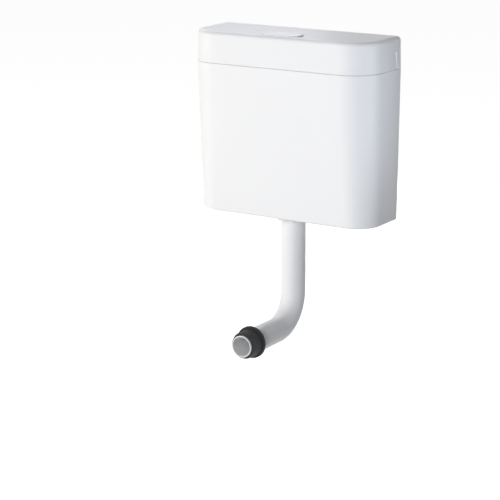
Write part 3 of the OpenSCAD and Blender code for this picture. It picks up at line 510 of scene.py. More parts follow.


# Slot: material, surface group with its settings, tint, depth of the tones, roughness from and to, bump,
# relief of the bump in millimetres, metallic, and the creases' share of the tint, which paints shade into
# them
FINISHES = {
    "shell_plastic": ("gloss_white", moulded_skin, (7, 45, 1400, 0.12), "shell", 0.015, (0.26, 0.32), 0.03),
    "pipe_plastic": (
        "half_gloss_white", moulded_skin, (14, 70, 1500, 0.25), "pipe", 0.03, (0.28, 0.38), 0.08),
    "pale_plastic": ("satin_pale", moulded_skin, (25, 120, 2200, 0.5), "pale", 0.06, (0.38, 0.5), 0.12),
    "acetal": ("satin_ivory", moulded_skin, (25, 120, 2200, 0.5), "ivory", 0.06, (0.34, 0.46), 0.12),
    "grey_plastic": ("satin_grey", moulded_skin, (30, 150, 2600, 0.7), "grey", 0.14, (0.42, 0.56), 0.2),
    "blue_plastic": ("satin_blue", moulded_skin, (30, 150, 2600, 0.6), "blue", 0.18, (0.36, 0.5), 0.18),
    "rubber": ("black_rubber", moulded_skin, (40, 260, 3600, 0.8), "rubber", 0.35, (0.55, 0.75), 0.35),
    "foam": ("bead_foam", bead_foam, (260,), "foam", 0.07, (0.7, 0.85), 0.5, 1.2, 0, 0.72),
    "steel": ("drawn_steel", drawn_metal, (2600, 140), "steel", 0.25, (0.22, 0.38), 0.1, 0.5, 1),
    "plated_brass": ("nickel_plate", drawn_metal, (1500, 90), "nickel", 0.18, (0.14, 0.26), 0.08, 0.5, 1),
}


def finish_for(slot):
    """Material of a slot of the record, made at its first use."""
    name, *row = FINISHES[slot]
    return bpy.data.materials.get(name) or finish(name, *row)


def finish(name, surface, settings, tint_name, depth, rough, bump, relief=1, metallic=0, crease_shade=None):
    """Principled material driven by a surface group, which is made at its first use.
    Base colour runs between the tint darkened by depth and the tint over the group's mask, with painted
    shade in the creases at a share of the tint. Roughness runs between two values, and the group's height
    feeds the bump."""
    mat = bpy.data.materials.new(name)
    mat.use_nodes = True
    tree = mat.node_tree
    tint = np.array(getattr(bpy.context.scene.cistern_finish, tint_name))
    group = add(tree, "Group", node_tree=bpy.data.node_groups.get(surface.__name__) or surface())
    tree.links.new(add(tree, "TexCoord").outputs["Object"], group.inputs["Vector"])
    for socket, value in zip(group.inputs[1:], settings):
        socket.default_value = value
    base = mixed(tree, group.outputs["Mask"], (*tint * (1 - depth), 1), (*tint, 1))
    # Painted shade: the bead creases are darkened to a share of the tint
    if crease_shade:
        base = mixed(tree, group.outputs["Crease"], (*tint * crease_shade, 1), base)
    limits = {"From Min": 0.25, "From Max": 0.75, "To Min": rough[0], "To Max": rough[1]}
    spread = add(tree, "MapRange", {"Value": group.outputs["Rough"], **limits})
    height = {"Strength": bump, "Distance": relief * MM, "Height": group.outputs["Height"]}
    shader = tree.nodes["Principled BSDF"].inputs
    shader["Metallic"].default_value = metallic
    tree.links.new(base, shader["Base Color"])
    tree.links.new(spread.outputs["Result"], shader["Roughness"])
    tree.links.new(add(tree, "Bump", height).outputs["Normal"], shader["Normal"])
    return mat


# Pieces


def shell_levels(s):
    """Heights of the seam's middle, the tank's edge and the lip's top, in millimetres."""
    rim = LID_LO[2] - s.seam / 2
    return rim, rim - s.seam / 2, rim + s.lip_height


def back_radius(s, inset):
    """Plan radius of the two corners at the wall, which tightens with the inset."""
    return max(0.3, s.back_corner - 0.3 * inset)


def tank_outline(s, z, inset):
    """Outline of the tank at a height: sides and front lean in by their drafts, and the corners tighten."""
    rim = shell_levels(s)[0]
    fall = max(0.0, rim - z)
    half = LID_HI[0] - fall * math.tan(s.side_draft) - inset
    front = -LID_LO[1] - fall * math.tan(s.front_draft) - inset
    corner = s.corner - (s.corner - s.corner_low) * fall / (rim - TANK_LO[2]) - inset
    side = np.array([0.03, 0.2, 0.4, 0.6, 0.8, 0.97])
    shares = side, fanned(31, 62, 0.012), fanned(37, 73, 0.006)
    return d_outline(half, front, inset, corner, back_radius(s, inset), *shares)


def outlet_ring(s, radius, z):
    """Circle about the outlet whose points lie in the directions of the tank outline's points."""
    ray = tank_outline(s, TANK_LO[2], 0) - OUTLET
    return flat_ring(OUTLET + radius * ray / np.linalg.norm(ray, axis=1)[:, None], z)


def screw_places(s, node):
    """Middles of a node's screws in plan, from the node's box and the size of a head."""
    lo, hi = node_box(node)
    head = s.screw_head / 2
    rows = np.unique(np.round([lo[1] + head, hi[1] - head], 1))
    return [np.array([x, y]) for x in (lo[0] + head, hi[0] - head) for y in rows]


class CISTERN_OT_tank(bpy.types.Operator):
    """Tank: one profile carried round the D-shaped outline, with slots and the inlet hole cut into it.
    It goes up the leaning outside, over the lip, down the inside and through the recess of the outlet."""

    bl_idname = "cistern.tank"
    bl_label = "Tank"

    def execute(self, context):
        s = sizes(context)
        tank = skin("tank_shell", self.walls(s) + self.well(s))
        self.wall_slots(s, tank)
        self.inlet(s, tank)
        dress(tank, "cistern", "shell_plastic", "tank")
        return {"FINISHED"}

    def walls(self, s):
        """Rings from the bottom edge over the lip to the inside of the floor."""
        rim, edge, lip = shell_levels(s)
        low, wall = TANK_LO[2], s.tank_wall
        big, fine, inner = s.bottom_edge, s.fine_edge, s.inner_edge
        floor, band = low + s.tank_floor, rim - s.band_height
        lip_out = s.lid_wall + s.lip_gap + lid_lean(s, lip)
        lip_in, lip_round = lip_out + s.lip_wall, s.lip_wall / 2
        profile = np.vstack([
            arc(big, low + big, big, 270, 180, 8),
            [[0, low + big + 2], [0, low + 60], [0, low + 150], [0, edge - 60], [0, edge - fine - 2]],
            arc(fine, edge - fine, fine, 180, 90),
            [[lip_out - NICK, edge], [lip_out, edge + 0.8 * NICK], [lip_out, lip - lip_round]],
            arc(lip_out + lip_round, lip - lip_round, lip_round, 180, 0, 8),
            [[lip_in, band + 1], [lip_in, band], [wall, band], [wall, band - 2], [wall, floor + inner + 2]],
            arc(wall + inner, floor + inner, inner, 180, 270),
        ])
        return [flat_ring(tank_outline(s, z, inset), z) for inset, z in profile]

    def well(self, s):
        """Rings over the recess of the outlet, through its hole and back to the underside."""
        low, well, hole, fine = TANK_LO[2], s.well_radius, s.outlet_hole, s.fine_edge
        collar = well + s.tank_floor
        floor, roof = low + s.tank_floor, low + s.well_height
        top = roof + s.tank_floor
        stations = [
            (collar + 2, floor), (collar, floor + 1), (collar, top - 1), (collar - 1, top),
            (hole + NICK, top), (hole, top - NICK), (hole, roof + NICK), (hole + NICK, roof),
            (well - NICK, roof), (well, roof - NICK), (well, low + fine), (well + fine, low),
            (well + 3 * fine, low),
        ]
        rings = [outlet_ring(s, radius, z) for radius, z in stations]
        return rings + [flat_ring(tank_outline(s, low, s.bottom_edge + 3), low)]

    def wall_slots(self, s, tank):
        """Two slots in the back wall, each in a raised pad."""
        margin, height = 6.5, 3.5
        pad_face = -s.tank_wall - height
        steps = ((margin, -s.tank_wall / 2, "UNION", 0), (0, CUT, "DIFFERENCE", CUT))
        for sign in (-1, 1):
            middle = np.array([sign * s.slot_spacing / 2, 0.0])
            for grow, back, operation, past in steps:
                radius = s.slot_width / 2 + grow
                outline = round_rect(s.slot_length / 2 + grow, radius, radius * 0.999, 10) + middle
                carve(tank, prism("slot", outline, pad_face - past, back, 1), operation)

    def inlet(self, s, tank):
        """Flat pad on the left wall with the hole of the inlet."""
        middle, ring, pad_radius = INLET_MID[1:], circle(64), 18
        out, inn = TANK_LO[0], GASKET_LO[0]
        carve(tank, prism("pad", middle + pad_radius * ring, out, inn, 0), "UNION")
        carve(tank, prism("hole", middle + s.inlet_hole * ring, out - CUT, inn + CUT, 0), "DIFFERENCE")


def lid_lean(s, z):
    """Inset of the lid's front and sides at a height, from their lean."""
    return (z - LID_LO[2]) * math.tan(s.lid_draft)


def lid_outline(s, inset, back):
    """Outline of the lid, with extra points at the edges of the grip recess and towards the button."""
    front = -LID_LO[1]
    rounded = back_radius(s, inset)
    start, end = rounded, front - s.corner
    near, far, step = s.grip_back, s.grip_back + s.grip_width, 0.3
    marks = np.array([
        start + 1, near / 2, near - step, near + step, (near + far) / 2, far - step, far + step,
        (far + end) / 2, end - 2,
    ])
    shares = (marks - start) / (end - start), fanned(51, 78, 0.006), fanned(41, 62, 0.006)
    return d_outline(LID_HI[0] - inset, front - inset, back, s.corner - inset, rounded, *shares)


class CISTERN_OT_lid(bpy.types.Operator):
    """Lid: one profile carried round the D-shaped outline, with ribs and screw bosses added under it.
    It goes up the outside, over the rounded top edge, across the top to the button's opening and back
    along the inside. The grip recesses are pressed into its sides."""

    bl_idname = "cistern.lid"
    bl_label = "Lid"

    def execute(self, context):
        s = sizes(context)
        lid = skin("lid_shell", self.outside(s) + self.opening(s) + self.inside(s))
        self.ribs(s, lid)
        self.bosses(s, lid)
        dress(lid, "lid", "shell_plastic", "lid")
        return {"FINISHED"}

    def outside(self, s):
        """Rings from the lower edge to the top; the back stays nearly straight up to its edge."""
        low, top, big, fine = LID_LO[2], LID_HI[2], s.top_edge, s.fine_edge
        grip_top, step = low + s.grip_height, 0.3
        profile = np.vstack([
            arc(fine, low + fine, fine, 270, 180),
            [[0, low + 3], [0, (low + grip_top) / 2], [0, grip_top - step], [0, grip_top + step]],
            [[0, grip_top + 6], [0, top - big - 2]],
            arc(big, top - big, big, 180, 90, 12),
            [[big + 1.5, top]],
        ])
        rings = []
        for inset, z in profile:
            back = inset if z < low + fine else max(0.0, inset) / big
            ring = flat_ring(lid_outline(s, inset + lid_lean(s, z), back), z)
            if z < grip_top:
                self.press_grips(s, ring, z)
            rings.append(ring)
        return rings

    def press_grips(self, s, ring, z):
        """Moves the sides of a ring inwards along the grip recesses, more so towards their top."""
        x, y = ring[:, 0], ring[:, 1]
        near, far = -s.grip_back, -s.grip_back - s.grip_width
        pressed = (y < near) & (y > far) & (np.abs(x) > LID_HI[0] - 2 * s.lid_wall)
        limit = LID_HI[0] - lid_lean(s, z) - s.grip_depth * (z - LID_LO[2]) / s.grip_height
        ring[:, 0] = np.where(pressed, np.clip(x, -limit, limit), x)

    def opening(self, s):
        """Rings round the button's opening, in the directions of the lid outline's points."""
        top = LID_HI[2]
        ray = lid_outline(s, s.top_edge + lid_lean(s, top), 1.0) - BUTTON_MID
        half = (BUTTON_HI[:2] - BUTTON_LO[:2]) / 2 - s.button_flange + s.button_gap
        corner = s.button_corner + s.button_gap
        rings = []
        for grow, drop in [(2, 0), (0.8, 0), (0.4, 0.1), (0.1, 0.4), (0, 0.8), (0, s.lid_wall)]:
            reach = round_rect_reach(ray, *(half + grow), corner + grow)
            rings.append(flat_ring(BUTTON_MID + reach, top - drop))
        return rings

    def inside(self, s):
        """Rings from the inner top edge down to the lower edge."""
        low, under, wall = LID_LO[2], LID_HI[2] - s.lid_wall, s.lid_wall
        inner, fine = s.inner_edge, s.fine_edge
        profile = np.vstack([
            arc(wall + inner, under - inner, inner, 90, 180, 6),
            [[wall, under - inner - 2], [wall, low + 8], [wall, low + fine]],
            arc(wall - fine, low + fine, fine, 0, -90),
        ])
        return [flat_ring(lid_outline(s, i + lid_lean(s, z), min(i, wall)), z) for i, z in profile]

    def ribs(self, s, lid):
        """Upright ribs on all four inner walls, which rest on the tank's lip."""
        rib, rib_length, rib_height = 3, 5, 14
        wall, lip = s.lid_wall, shell_levels(s)[2]
        reach = rib_length + wall / 2
        root = wall / 2 + lid_lean(s, lip + rib_height / 2)
        spots = []
        for sign in (-1, 1):
            for y in (-s.grip_back, s.corner + LID_LO[1] + rib):
                spots.append((sign * (LID_HI[0] - root - reach / 2), y, reach, rib))
            for y in (-wall / 2 - reach / 2, LID_LO[1] + root + reach / 2):
                spots.append((sign * s.slot_spacing / 2, y, rib, reach))
        for x, y, width, depth in spots:
            outline = round_rect(width / 2, depth / 2, NICK, 3) + np.array([x, y])
            carve(lid, prism("rib", outline, lip, lip + rib_height, 2), "UNION")

    def bosses(self, s, lid):
        """Round bosses for the screws of the button's frame."""
        radius, height = 4.5, 6
        under = LID_HI[2] - s.lid_wall
        for middle in screw_places(s, "frame_screws"):
            outline = middle + radius * circle(40)
            carve(lid, prism("boss", outline, under - height, under + s.lid_wall / 2, 2), "UNION")


class CISTERN_OT_button(bpy.types.Operator):
    """Push button and its return springs.
    Button: rounded rectangles from the hollow underside over the flange to the sloping top, on two legs.
    Springs: a circle carried along a helix of even pitch."""

    bl_idname = "cistern.button"
    bl_label = "Push button"

    def execute(self, context):
        s = sizes(context)
        flange, wall, edge = s.button_flange, s.button_wall, s.button_edge
        half = (BUTTON_HI[:2] - BUTTON_LO[:2]) / 2 - flange
        z_flange = LID_HI[2] - s.lid_wall - s.button_play
        z_under = z_flange - flange
        z_front = BUTTON_HI[2] - s.button_sink - s.button_fall
        ceiling = z_front - wall
        ease, middle = 0.4, -12

        def ring(grow, z, sloping=False):
            xy = round_rect(half[0] + grow, half[1] + grow, max(0.5, s.button_corner + grow), 16)
            slope = s.button_fall * (xy[:, 1] + half[1]) / (2 * half[1])
            return flat_ring(xy + BUTTON_MID, z + slope if sloping else z)

        rings = [ring(grow, z) for grow, z in [
            (middle, ceiling), (-wall - 1.5, ceiling), (-wall - ease, ceiling - ease),
            (-wall, ceiling - 1.5), (-wall, z_under + ease), (-wall + ease, z_under),
            (flange - ease, z_under), (flange, z_under + ease), (flange, z_flange - ease),
            (flange - ease, z_flange), (0.3, z_flange), (0, z_flange + 0.3), (0, LID_HI[2] + 0.2),
        ]]
        for inset, z in arc(edge, z_front - edge, edge, 180, 90, 6):
            rings.append(ring(-inset, z, True))
        rings += [ring(-edge - 1, z_front, True), ring(middle, z_front, True)]
        button = capped("push_button_cap", rings)
        self.legs(s, button, ceiling)
        dress(button, "button", "shell_plastic", "push_button")
        self.springs(s)
        return {"FINISHED"}

    def legs(self, s, button, ceiling):
        """Two round legs with eased tips, down to the button's lowest level."""
        radius, spread, ahead, tip = 3.5, 9, 11, BUTTON_LO[2]
        stations = [(radius - 1, tip), (radius - 0.3, tip + 0.3), (radius, tip + 1), (radius, ceiling + 1)]
        for sign in (-1, 1):
            middle = np.array([sign * spread, BUTTON_LO[1] + s.button_flange + ahead])
            leg = capped("leg", [flat_ring(middle + r * circle(32), z) for r, z in stations])
            carve(button, leg, "UNION")

    def springs(self, s):
        """Two helical springs: 24 rings of 10 points a turn."""
        lo, hi = node_box("button_springs")
        wire = 0.6
        mean = (hi[1] - lo[1]) / 2 - wire
        low, high = lo[2] + wire * 0.9, hi[2] - wire * 0.9
        mid_x, mid_y = hi[0] - mean - wire, (lo[1] + hi[1]) / 2
        turn = 2 * np.pi * np.linspace(0, s.spring_turns, s.spring_turns * 24 + 1)[:, None]
        side = np.linspace(0, 2 * np.pi, 10, endpoint=False)[None, :]
        radius = mean + wire * np.cos(side)
        z = low + (high - low) * turn / turn[-1] - wire * np.sin(side)
        coil = np.stack([radius * np.cos(turn), radius * np.sin(turn), z], axis=-1)
        for sign, side_name in ((-1, "left"), (1, "right")):
            spring = capped(f"return_spring_{side_name}", coil + np.array([sign * mid_x, mid_y, 0]))
            dress(spring, "lid", "steel", "button_springs")
            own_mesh(spring)


class CISTERN_OT_liner(bpy.types.Operator):
    """Foam liner: a profile carried round the tank's inside outline.
    It goes up the outside, over the top edge and down to a floor with a round hole for the outlet."""

    bl_idname = "cistern.liner"
    bl_label = "Foam liner"

    def execute(self, context):
        s = sizes(context)
        low, top = [corner[2] for corner in node_box("tank_liner")]
        out = s.tank_wall + s.liner_gap
        inn = out + s.liner_wall
        floor = low + s.liner_floor
        hole = s.well_radius + s.tank_floor + s.liner_gap
        soft, inner, outer = 2.5, 8, 3
        profile = np.vstack([
            [[out + 2 * outer, low]],
            arc(out + outer, low + outer, outer, 270, 180),
            [[out, low + 80], [out, top - 80], [out, top - outer]],
            arc(out + soft, top - soft, soft, 180, 90),
            arc(inn - soft, top - soft, soft, 90, 0),
            [[inn, top - 60], [inn, floor + 80], [inn, floor + inner + 2]],
            arc(inn + inner, floor + inner, inner, 180, 270, 6),
            [[inn + inner + 2, floor]],
        ])
        rings = [flat_ring(tank_outline(s, z, inset), z) for inset, z in profile]
        for radius, z in [(hole + 1.5, floor), (hole, floor - 1.5), (hole, low + 1), (hole + 1, low)]:
            rings.append(outlet_ring(s, radius, z))
        dress(skin("foam_liner", rings), "cistern", "foam", "tank_liner")
        return {"FINISHED"}


class CISTERN_OT_fill_float(bpy.types.Operator):
    """Fill float: a round-cornered block with soft edges about the bore for the guide tube."""

    bl_idname = "cistern.fill_float"
    bl_label = "Fill float"

    def execute(self, context):
        s = sizes(context)
        lo, hi = node_box("fill_float")
        low, top = lo[2], hi[2]
        half = (hi[:2] - lo[:2]) / 2
        middle = (hi[:2] + lo[:2]) / 2
        guide = np.array([np.mean(node_box("diaphragm"), axis=0)[0], middle[1]])
        outline = divided(round_rect(*half, s.float_corner, 12), 8)
        ray = outline + middle - guide
        spokes = ray / np.linalg.norm(ray, axis=1)[:, None]
        soft, bore = s.float_edge, s.float_bore
        edge = arc(soft, soft, soft, 270, 180, 6)

        def outer(inset, z):
            return flat_ring(middle + outline * (1 - inset / half), z)

        rings = [outer(inset, low + z) for inset, z in edge]
        rings += [outer(0, low + 3 * soft), outer(0, top - 3 * soft)]
        rings += [outer(inset, top - z) for inset, z in edge[::-1]]
        mouth = [(bore + 1.5, 0), (bore + 0.3, 0.4), (bore, 1.5)]
        rings += [flat_ring(guide + radius * spokes, top - depth) for radius, depth in mouth]
        rings += [flat_ring(guide + radius * spokes, low + depth) for radius, depth in mouth[::-1]]
        dress(skin("float_block", rings), "fill_float", "foam", "fill_float")
        return {"FINISHED"}


class CISTERN_OT_flush_pipe(bpy.types.Operator):
    """Flush bend, its union nut and the rubber sleeve for the pan.
    Bend: circles carried down, round a quarter turn and forward to a tapered spigot, outside and inside.
    Nut: a lathe profile whose radius swells into ribs. Sleeve: a lathe profile with shallow grooves."""

    bl_idname = "cistern.flush_pipe"
    bl_label = "Flush pipe"

    def execute(self, context):
        s = sizes(context)
        self.bend(s)
        self.nut(s)
        self.sleeve(s)
        return {"FINISHED"}

    def bend(self, s):
        """Pipe along its path, with both ends slightly trimmed."""
        lo, hi = node_box("flush_bend")
        pipe, turn, trim = node_radius("flush_bend"), s.bend_radius, 0.6
        top, z_leg, y_end = hi[2], lo[2] + pipe, lo[1]
        y_spigot = y_end + s.spigot_length
        y_taper = y_spigot + s.taper_length
        y_turn = OUTLET[1] - turn
        down = np.array([top, top - trim, top - 3, top - 40, top - 90, top - 140, z_leg + turn + 2])
        ahead = np.array([
            y_turn - 2, y_turn - 25, y_taper + 2, y_taper, y_spigot, y_spigot - 2, y_end + 30, y_end + 3,
            y_end + trim, y_end,
        ])
        a = np.radians(np.linspace(0, 90, 33))
        path = np.vstack([
            np.column_stack([np.full(len(down), OUTLET[1]), down]),
            np.column_stack([y_turn + turn * np.cos(a), z_leg + turn - turn * np.sin(a)]),
            np.column_stack([ahead, np.full(len(ahead), z_leg)]),
        ])
        heading = np.concatenate([np.zeros(len(down)), a, np.full(len(ahead), np.pi / 2)])
        taper = np.where(path[:, 0] < y_turn, eased((y_taper - path[:, 0]) / (y_taper - y_spigot)), 0)
        radius = pipe + (s.spigot / 2 - pipe) * taper
        ends = np.zeros(len(path))
        ends[[0, -1]] = trim
        # Across lies in the plane of the bend, at right angles to the path
        across = np.column_stack([np.zeros(len(path)), np.cos(heading), -np.sin(heading)])
        middle = np.column_stack([np.zeros(len(path)), path])
        side = np.linspace(0, 2 * np.pi, 64, endpoint=False)[None, :, None]
        spokes = across[:, None, :] * np.sin(side) + np.array([1.0, 0, 0]) * np.cos(side)

        def tube(radii):
            return middle[:, None, :] + radii[:, None, None] * spokes

        outside, inside = tube(radius - ends), tube(radius - s.pipe_wall + ends * 0.7)
        piece = skin("flush_bend_pipe", np.concatenate([outside[::-1], inside]))
        dress(piece, "cistern", "pipe_plastic", "flush_bend")

    def nut(self, s):
        """Union nut with twelve ribs along it."""
        low, top = [corner[2] for corner in node_box("flush_nut")]
        fit, rib, chamfer = 0.15, 1.67, 1.2
        out, bore, thread = node_radius("flush_nut"), node_radius("flush_bend") + fit, s.outlet_hole
        floor = low + s.nut_floor
        outline = [
            (low, bore), (low, out - chamfer), (low + chamfer, out), (top - chamfer, out),
            (top, out - chamfer), (top, thread), (floor, thread), (floor, bore),
        ]
        profile = divided(round_corners(outline, s.fine_edge), 2)

        def ribs(along, radius, a):
            swell = eased((np.cos(12 * a) - 0.72) / 0.2)
            return np.where(radius > thread + 1, np.minimum(radius, out - rib * (1 - swell)), radius)

        nut = turned("flush_union_nut", profile[::-1], (*OUTLET, 0), (0, 0, 1), 360, ribs)
        dress(nut, "cistern", "pipe_plastic", "flush_nut")

    def sleeve(self, s):
        """Rubber sleeve with four grooves and a collar, along Y."""
        lo, hi = node_box("pan_connector")
        nose, back, z_leg = lo[1], hi[1], (lo[2] + hi[2]) / 2
        big = node_radius("pan_connector")
        land = big - s.sleeve_collar
        bore = s.spigot / 2 + 0.05
        collar, groove = back - s.sleeve_collar, land - s.sleeve_groove
        outline = [(nose, bore), (nose, (bore + land) / 2)]
        for y in nose + 7 + 6 * np.arange(4):
            outline += [(y, land), (y + 4.2, land), (y + 4.8, groove), (y + 5.6, groove)]
        outline += [(collar, land), (collar, big), (back, big), (back, bore)]
        profile = round_corners(outline, 0.5)
        sleeve = turned("pan_sleeve", profile[::-1], (0, 0, z_leg), (0, 1, 0), 96)
        dress(sleeve, "cistern", "rubber", "pan_connector")


class CISTERN_OT_inlet(bpy.types.Operator):
    """Fill valve body and its wall nut.
    Tail: a lathe profile along X whose threaded length rises and falls along a screw line.
    Head and guide tube: a lathe profile about a vertical line.
    Nut: a hexagon whose corners are cut by a cone at both faces."""

    bl_idname = "cistern.inlet"
    bl_label = "Inlet"

    def execute(self, context):
        s = sizes(context)
        self.tail(s)
        self.head(s)
        self.nut(s)
        return {"FINISHED"}

    def tail(self, s):
        """Threaded inlet, flange and tail up to the middle of the head."""
        lo, hi = node_box("fill_valve_body")
        thread, thread_length, depth, bore = 10.45, 15, 1.16, 6.5
        wide, tail, lead, neck, ease = 17, 11.5, 0.8, thread - 0.5, 0.4
        start, x_nut, x_head = lo[0], node_box("inlet_nut")[0][0], hi[0] - s.head_radius
        x_thread, end = start + thread_length, x_head - 8.2
        flange, flange_end = GASKET_HI[0], GASKET_HI[0] + 4
        run = np.linspace(start + lead, x_thread, 110)
        profile = np.vstack([
            [[start, thread - lead]],
            np.column_stack([run, np.full(len(run), thread)]),
            [[x_thread + 0.3, neck], [x_nut - 0.2, neck], [x_nut, thread], [flange, thread]],
            [[flange, wide - ease], [flange + ease, wide], [flange_end - ease, wide]],
            [[flange_end, wide - ease], [flange_end, tail + 1], [flange_end + 1, tail], [x_head, tail]],
            [[x_head, 0.5], [end, 0.5], [end, bore], [start + NICK, bore], [start, bore + NICK]],
        ])

        def screw(along, radius, a):
            phase = np.mod(along / s.thread_pitch - a / (2 * np.pi), 1.0)
            groove = np.clip(np.abs(2 * phase - 1) * 1.3 - 0.15, 0, 1)
            fade = np.clip((along - start) / 2, 0, 1) * np.clip((x_thread - along) / 1.2, 0, 1)
            threaded = (along >= start + lead) & (along <= x_thread) & (radius > thread - 0.1)
            return np.where(threaded, radius - depth * groove * fade, radius)

        piece = turned("inlet_tail", profile, (0, *INLET_MID[1:]), (1, 0, 0), 64, screw)
        dress(piece, "cistern", "acetal", "fill_valve_body")

    def head(self, s):
        """Head with its valve chamber, and the guide tube under it."""
        lo, hi = node_box("fill_valve_body")
        low, top, z = lo[2], hi[2], INLET_MID[2]
        head, guide, bore = s.head_radius, s.guide_radius, s.guide_bore
        chamber, nozzle = head - 3.5, 8.2
        under, floor, mouth = z - 22, z - 6.5, z + 11
        outline = [
            (low, bore), (low, guide), (under, guide), (under, head), (top, head), (top, chamber),
            (floor, chamber), (floor, nozzle), (mouth, nozzle), (mouth, bore),
        ]
        middle = (hi[0] - head, INLET_MID[1], 0)
        piece = turned("fill_head", round_corners(outline, 0.7)[::-1], middle, (0, 0, 1), 80)
        dress(piece, "cistern", "acetal", "fill_valve_body")

    def nut(self, s):
        """Lock nut outside the wall."""
        box = node_box("inlet_nut")
        lo, hi = box[0][0], box[1][0]
        corner = (box[1][2] - box[0][2]) / 2
        flat = corner * math.cos(math.pi / 6)
        bore, chamfer = s.inlet_hole, 0.8
        rise = np.array([0, 0.25, 0.5, 0.75, 1.0, 1.3])
        outer = np.concatenate([lo + rise, hi - rise[::-1]])
        profile = np.vstack([
            np.column_stack([outer, np.full(len(outer), corner)]),
            [[hi, bore + chamfer], [hi - chamfer, bore], [lo + chamfer, bore], [lo, bore + chamfer]],
        ])

        def hexagon(along, radius, a):
            side = flat / np.cos(np.mod(a, np.pi / 3) - np.pi / 6)
            cone = flat - 0.2 + np.minimum(along - lo, hi - along) * 1.7
            return np.where(radius > bore + 1, np.minimum(side, cone), radius)

        nut = turned("inlet_lock_nut", profile, (0, *INLET_MID[1:]), (1, 0, 0), 180, hexagon)
        dress(nut, "cistern", "plated_brass", "inlet_nut")


class CISTERN_OT_screws(bpy.types.Operator):
    """Screws of the button frame, heads down, and of the lever bracket, heads up.
    Circles go from the tip along the shank to a domed head, and a cross is cut into it."""

    bl_idname = "cistern.screws"
    bl_label = "Screws"

    def execute(self, context):
        s = sizes(context)
        for node, body, heads_up in (("frame_screws", "lid", False), ("bracket_screws", "cistern", True)):
            for middle in screw_places(s, node):
                self.screw(s, node, body, heads_up, middle)
        return {"FINISHED"}

    def screw(self, s, node, body, heads_up, middle):
        """One screw between the lowest and the highest level of its node."""
        low, top = [corner[2] for corner in node_box(node)]
        head, shank, height = s.screw_head / 2, s.screw_shank / 2, s.screw_head_height
        seat = top - low - height
        rise = np.radians(np.linspace(0, 80, 8))
        dome = seat + height * (0.3 + 0.7 * np.sin(rise) / np.sin(rise[-1]))
        profile = np.vstack([
            [[0.2 * shank, 0], [0.9 * shank, shank], [shank, 1.4 * shank], [shank, seat], [head, seat]],
            np.column_stack([head * np.cos(rise), dome]),
        ])
        levels = low + profile[:, 1] if heads_up else top - profile[:, 1]
        rings = [flat_ring(middle + radius * circle(32), z) for radius, z in zip(profile[:, 0], levels)]
        name = f"{node}_{middle[0]:.0f}_{-middle[1]:.0f}".replace("-", "m")
        screw = capped(name, rings if heads_up else rings[::-1])
        crown, inwards = (top, -1) if heads_up else (low, 1)
        depths = sorted([crown - inwards, crown + inwards * height / 2])
        carve(screw, prism("cross", self.cross(head) + middle, *depths, 2), "DIFFERENCE")
        dress(screw, body, "steel", node)

    def cross(self, head):
        """Outline of a cross recess: one arm, turned three times by a right angle."""
        arm, half = 0.55 * head, 0.15 * head
        arms = [np.array([[arm, -half], [arm, half], [half, half]])]
        for _ in range(3):
            arms.append(arms[-1] @ np.array([[0, 1], [-1, 0]]))
        return np.vstack(arms)


class CISTERN_OT_finishes(bpy.types.Operator):
    """Materials of the frame nodes that stay in view, by their slots in the record."""

    bl_idname = "cistern.finishes"
    bl_label = "Finishes of the frame"

    def execute(self, context):
        for row in frame["record"]["subparts"]:
            node = frame["nodes"][row["node"]]
            if node.hide_render:
                continue
            node.data.materials.clear()
            node.data.materials.append(finish_for(row["material_slot"]))
        return {"FINISHED"}


# Studio


def face(obj, place, aim):
    """Puts a lamp or camera at a place, turned towards a point, into the scene."""
    obj.location = place
    obj.rotation_euler = (Vector(aim) - Vector(place)).to_track_quat("-Z", "Y").to_euler()
    bpy.context.scene.collection.objects.link(obj)


def soft_lamp(name, place, aim, size, watt, tint, mirrored=False):
    """Area lamp of a width and height that faces a point.
    It isn't seen itself, and is mirrored in surfaces only where that is asked."""
    data = bpy.data.lights.new(name, "AREA")
    data.shape = "RECTANGLE"
    data.size, data.size_y = size
    data.energy = watt
    data.color = tint
    lamp = bpy.data.objects.new(name, data)
    lamp.visible_camera = False
    lamp.visible_glossy = mirrored
    face(lamp, place, aim)


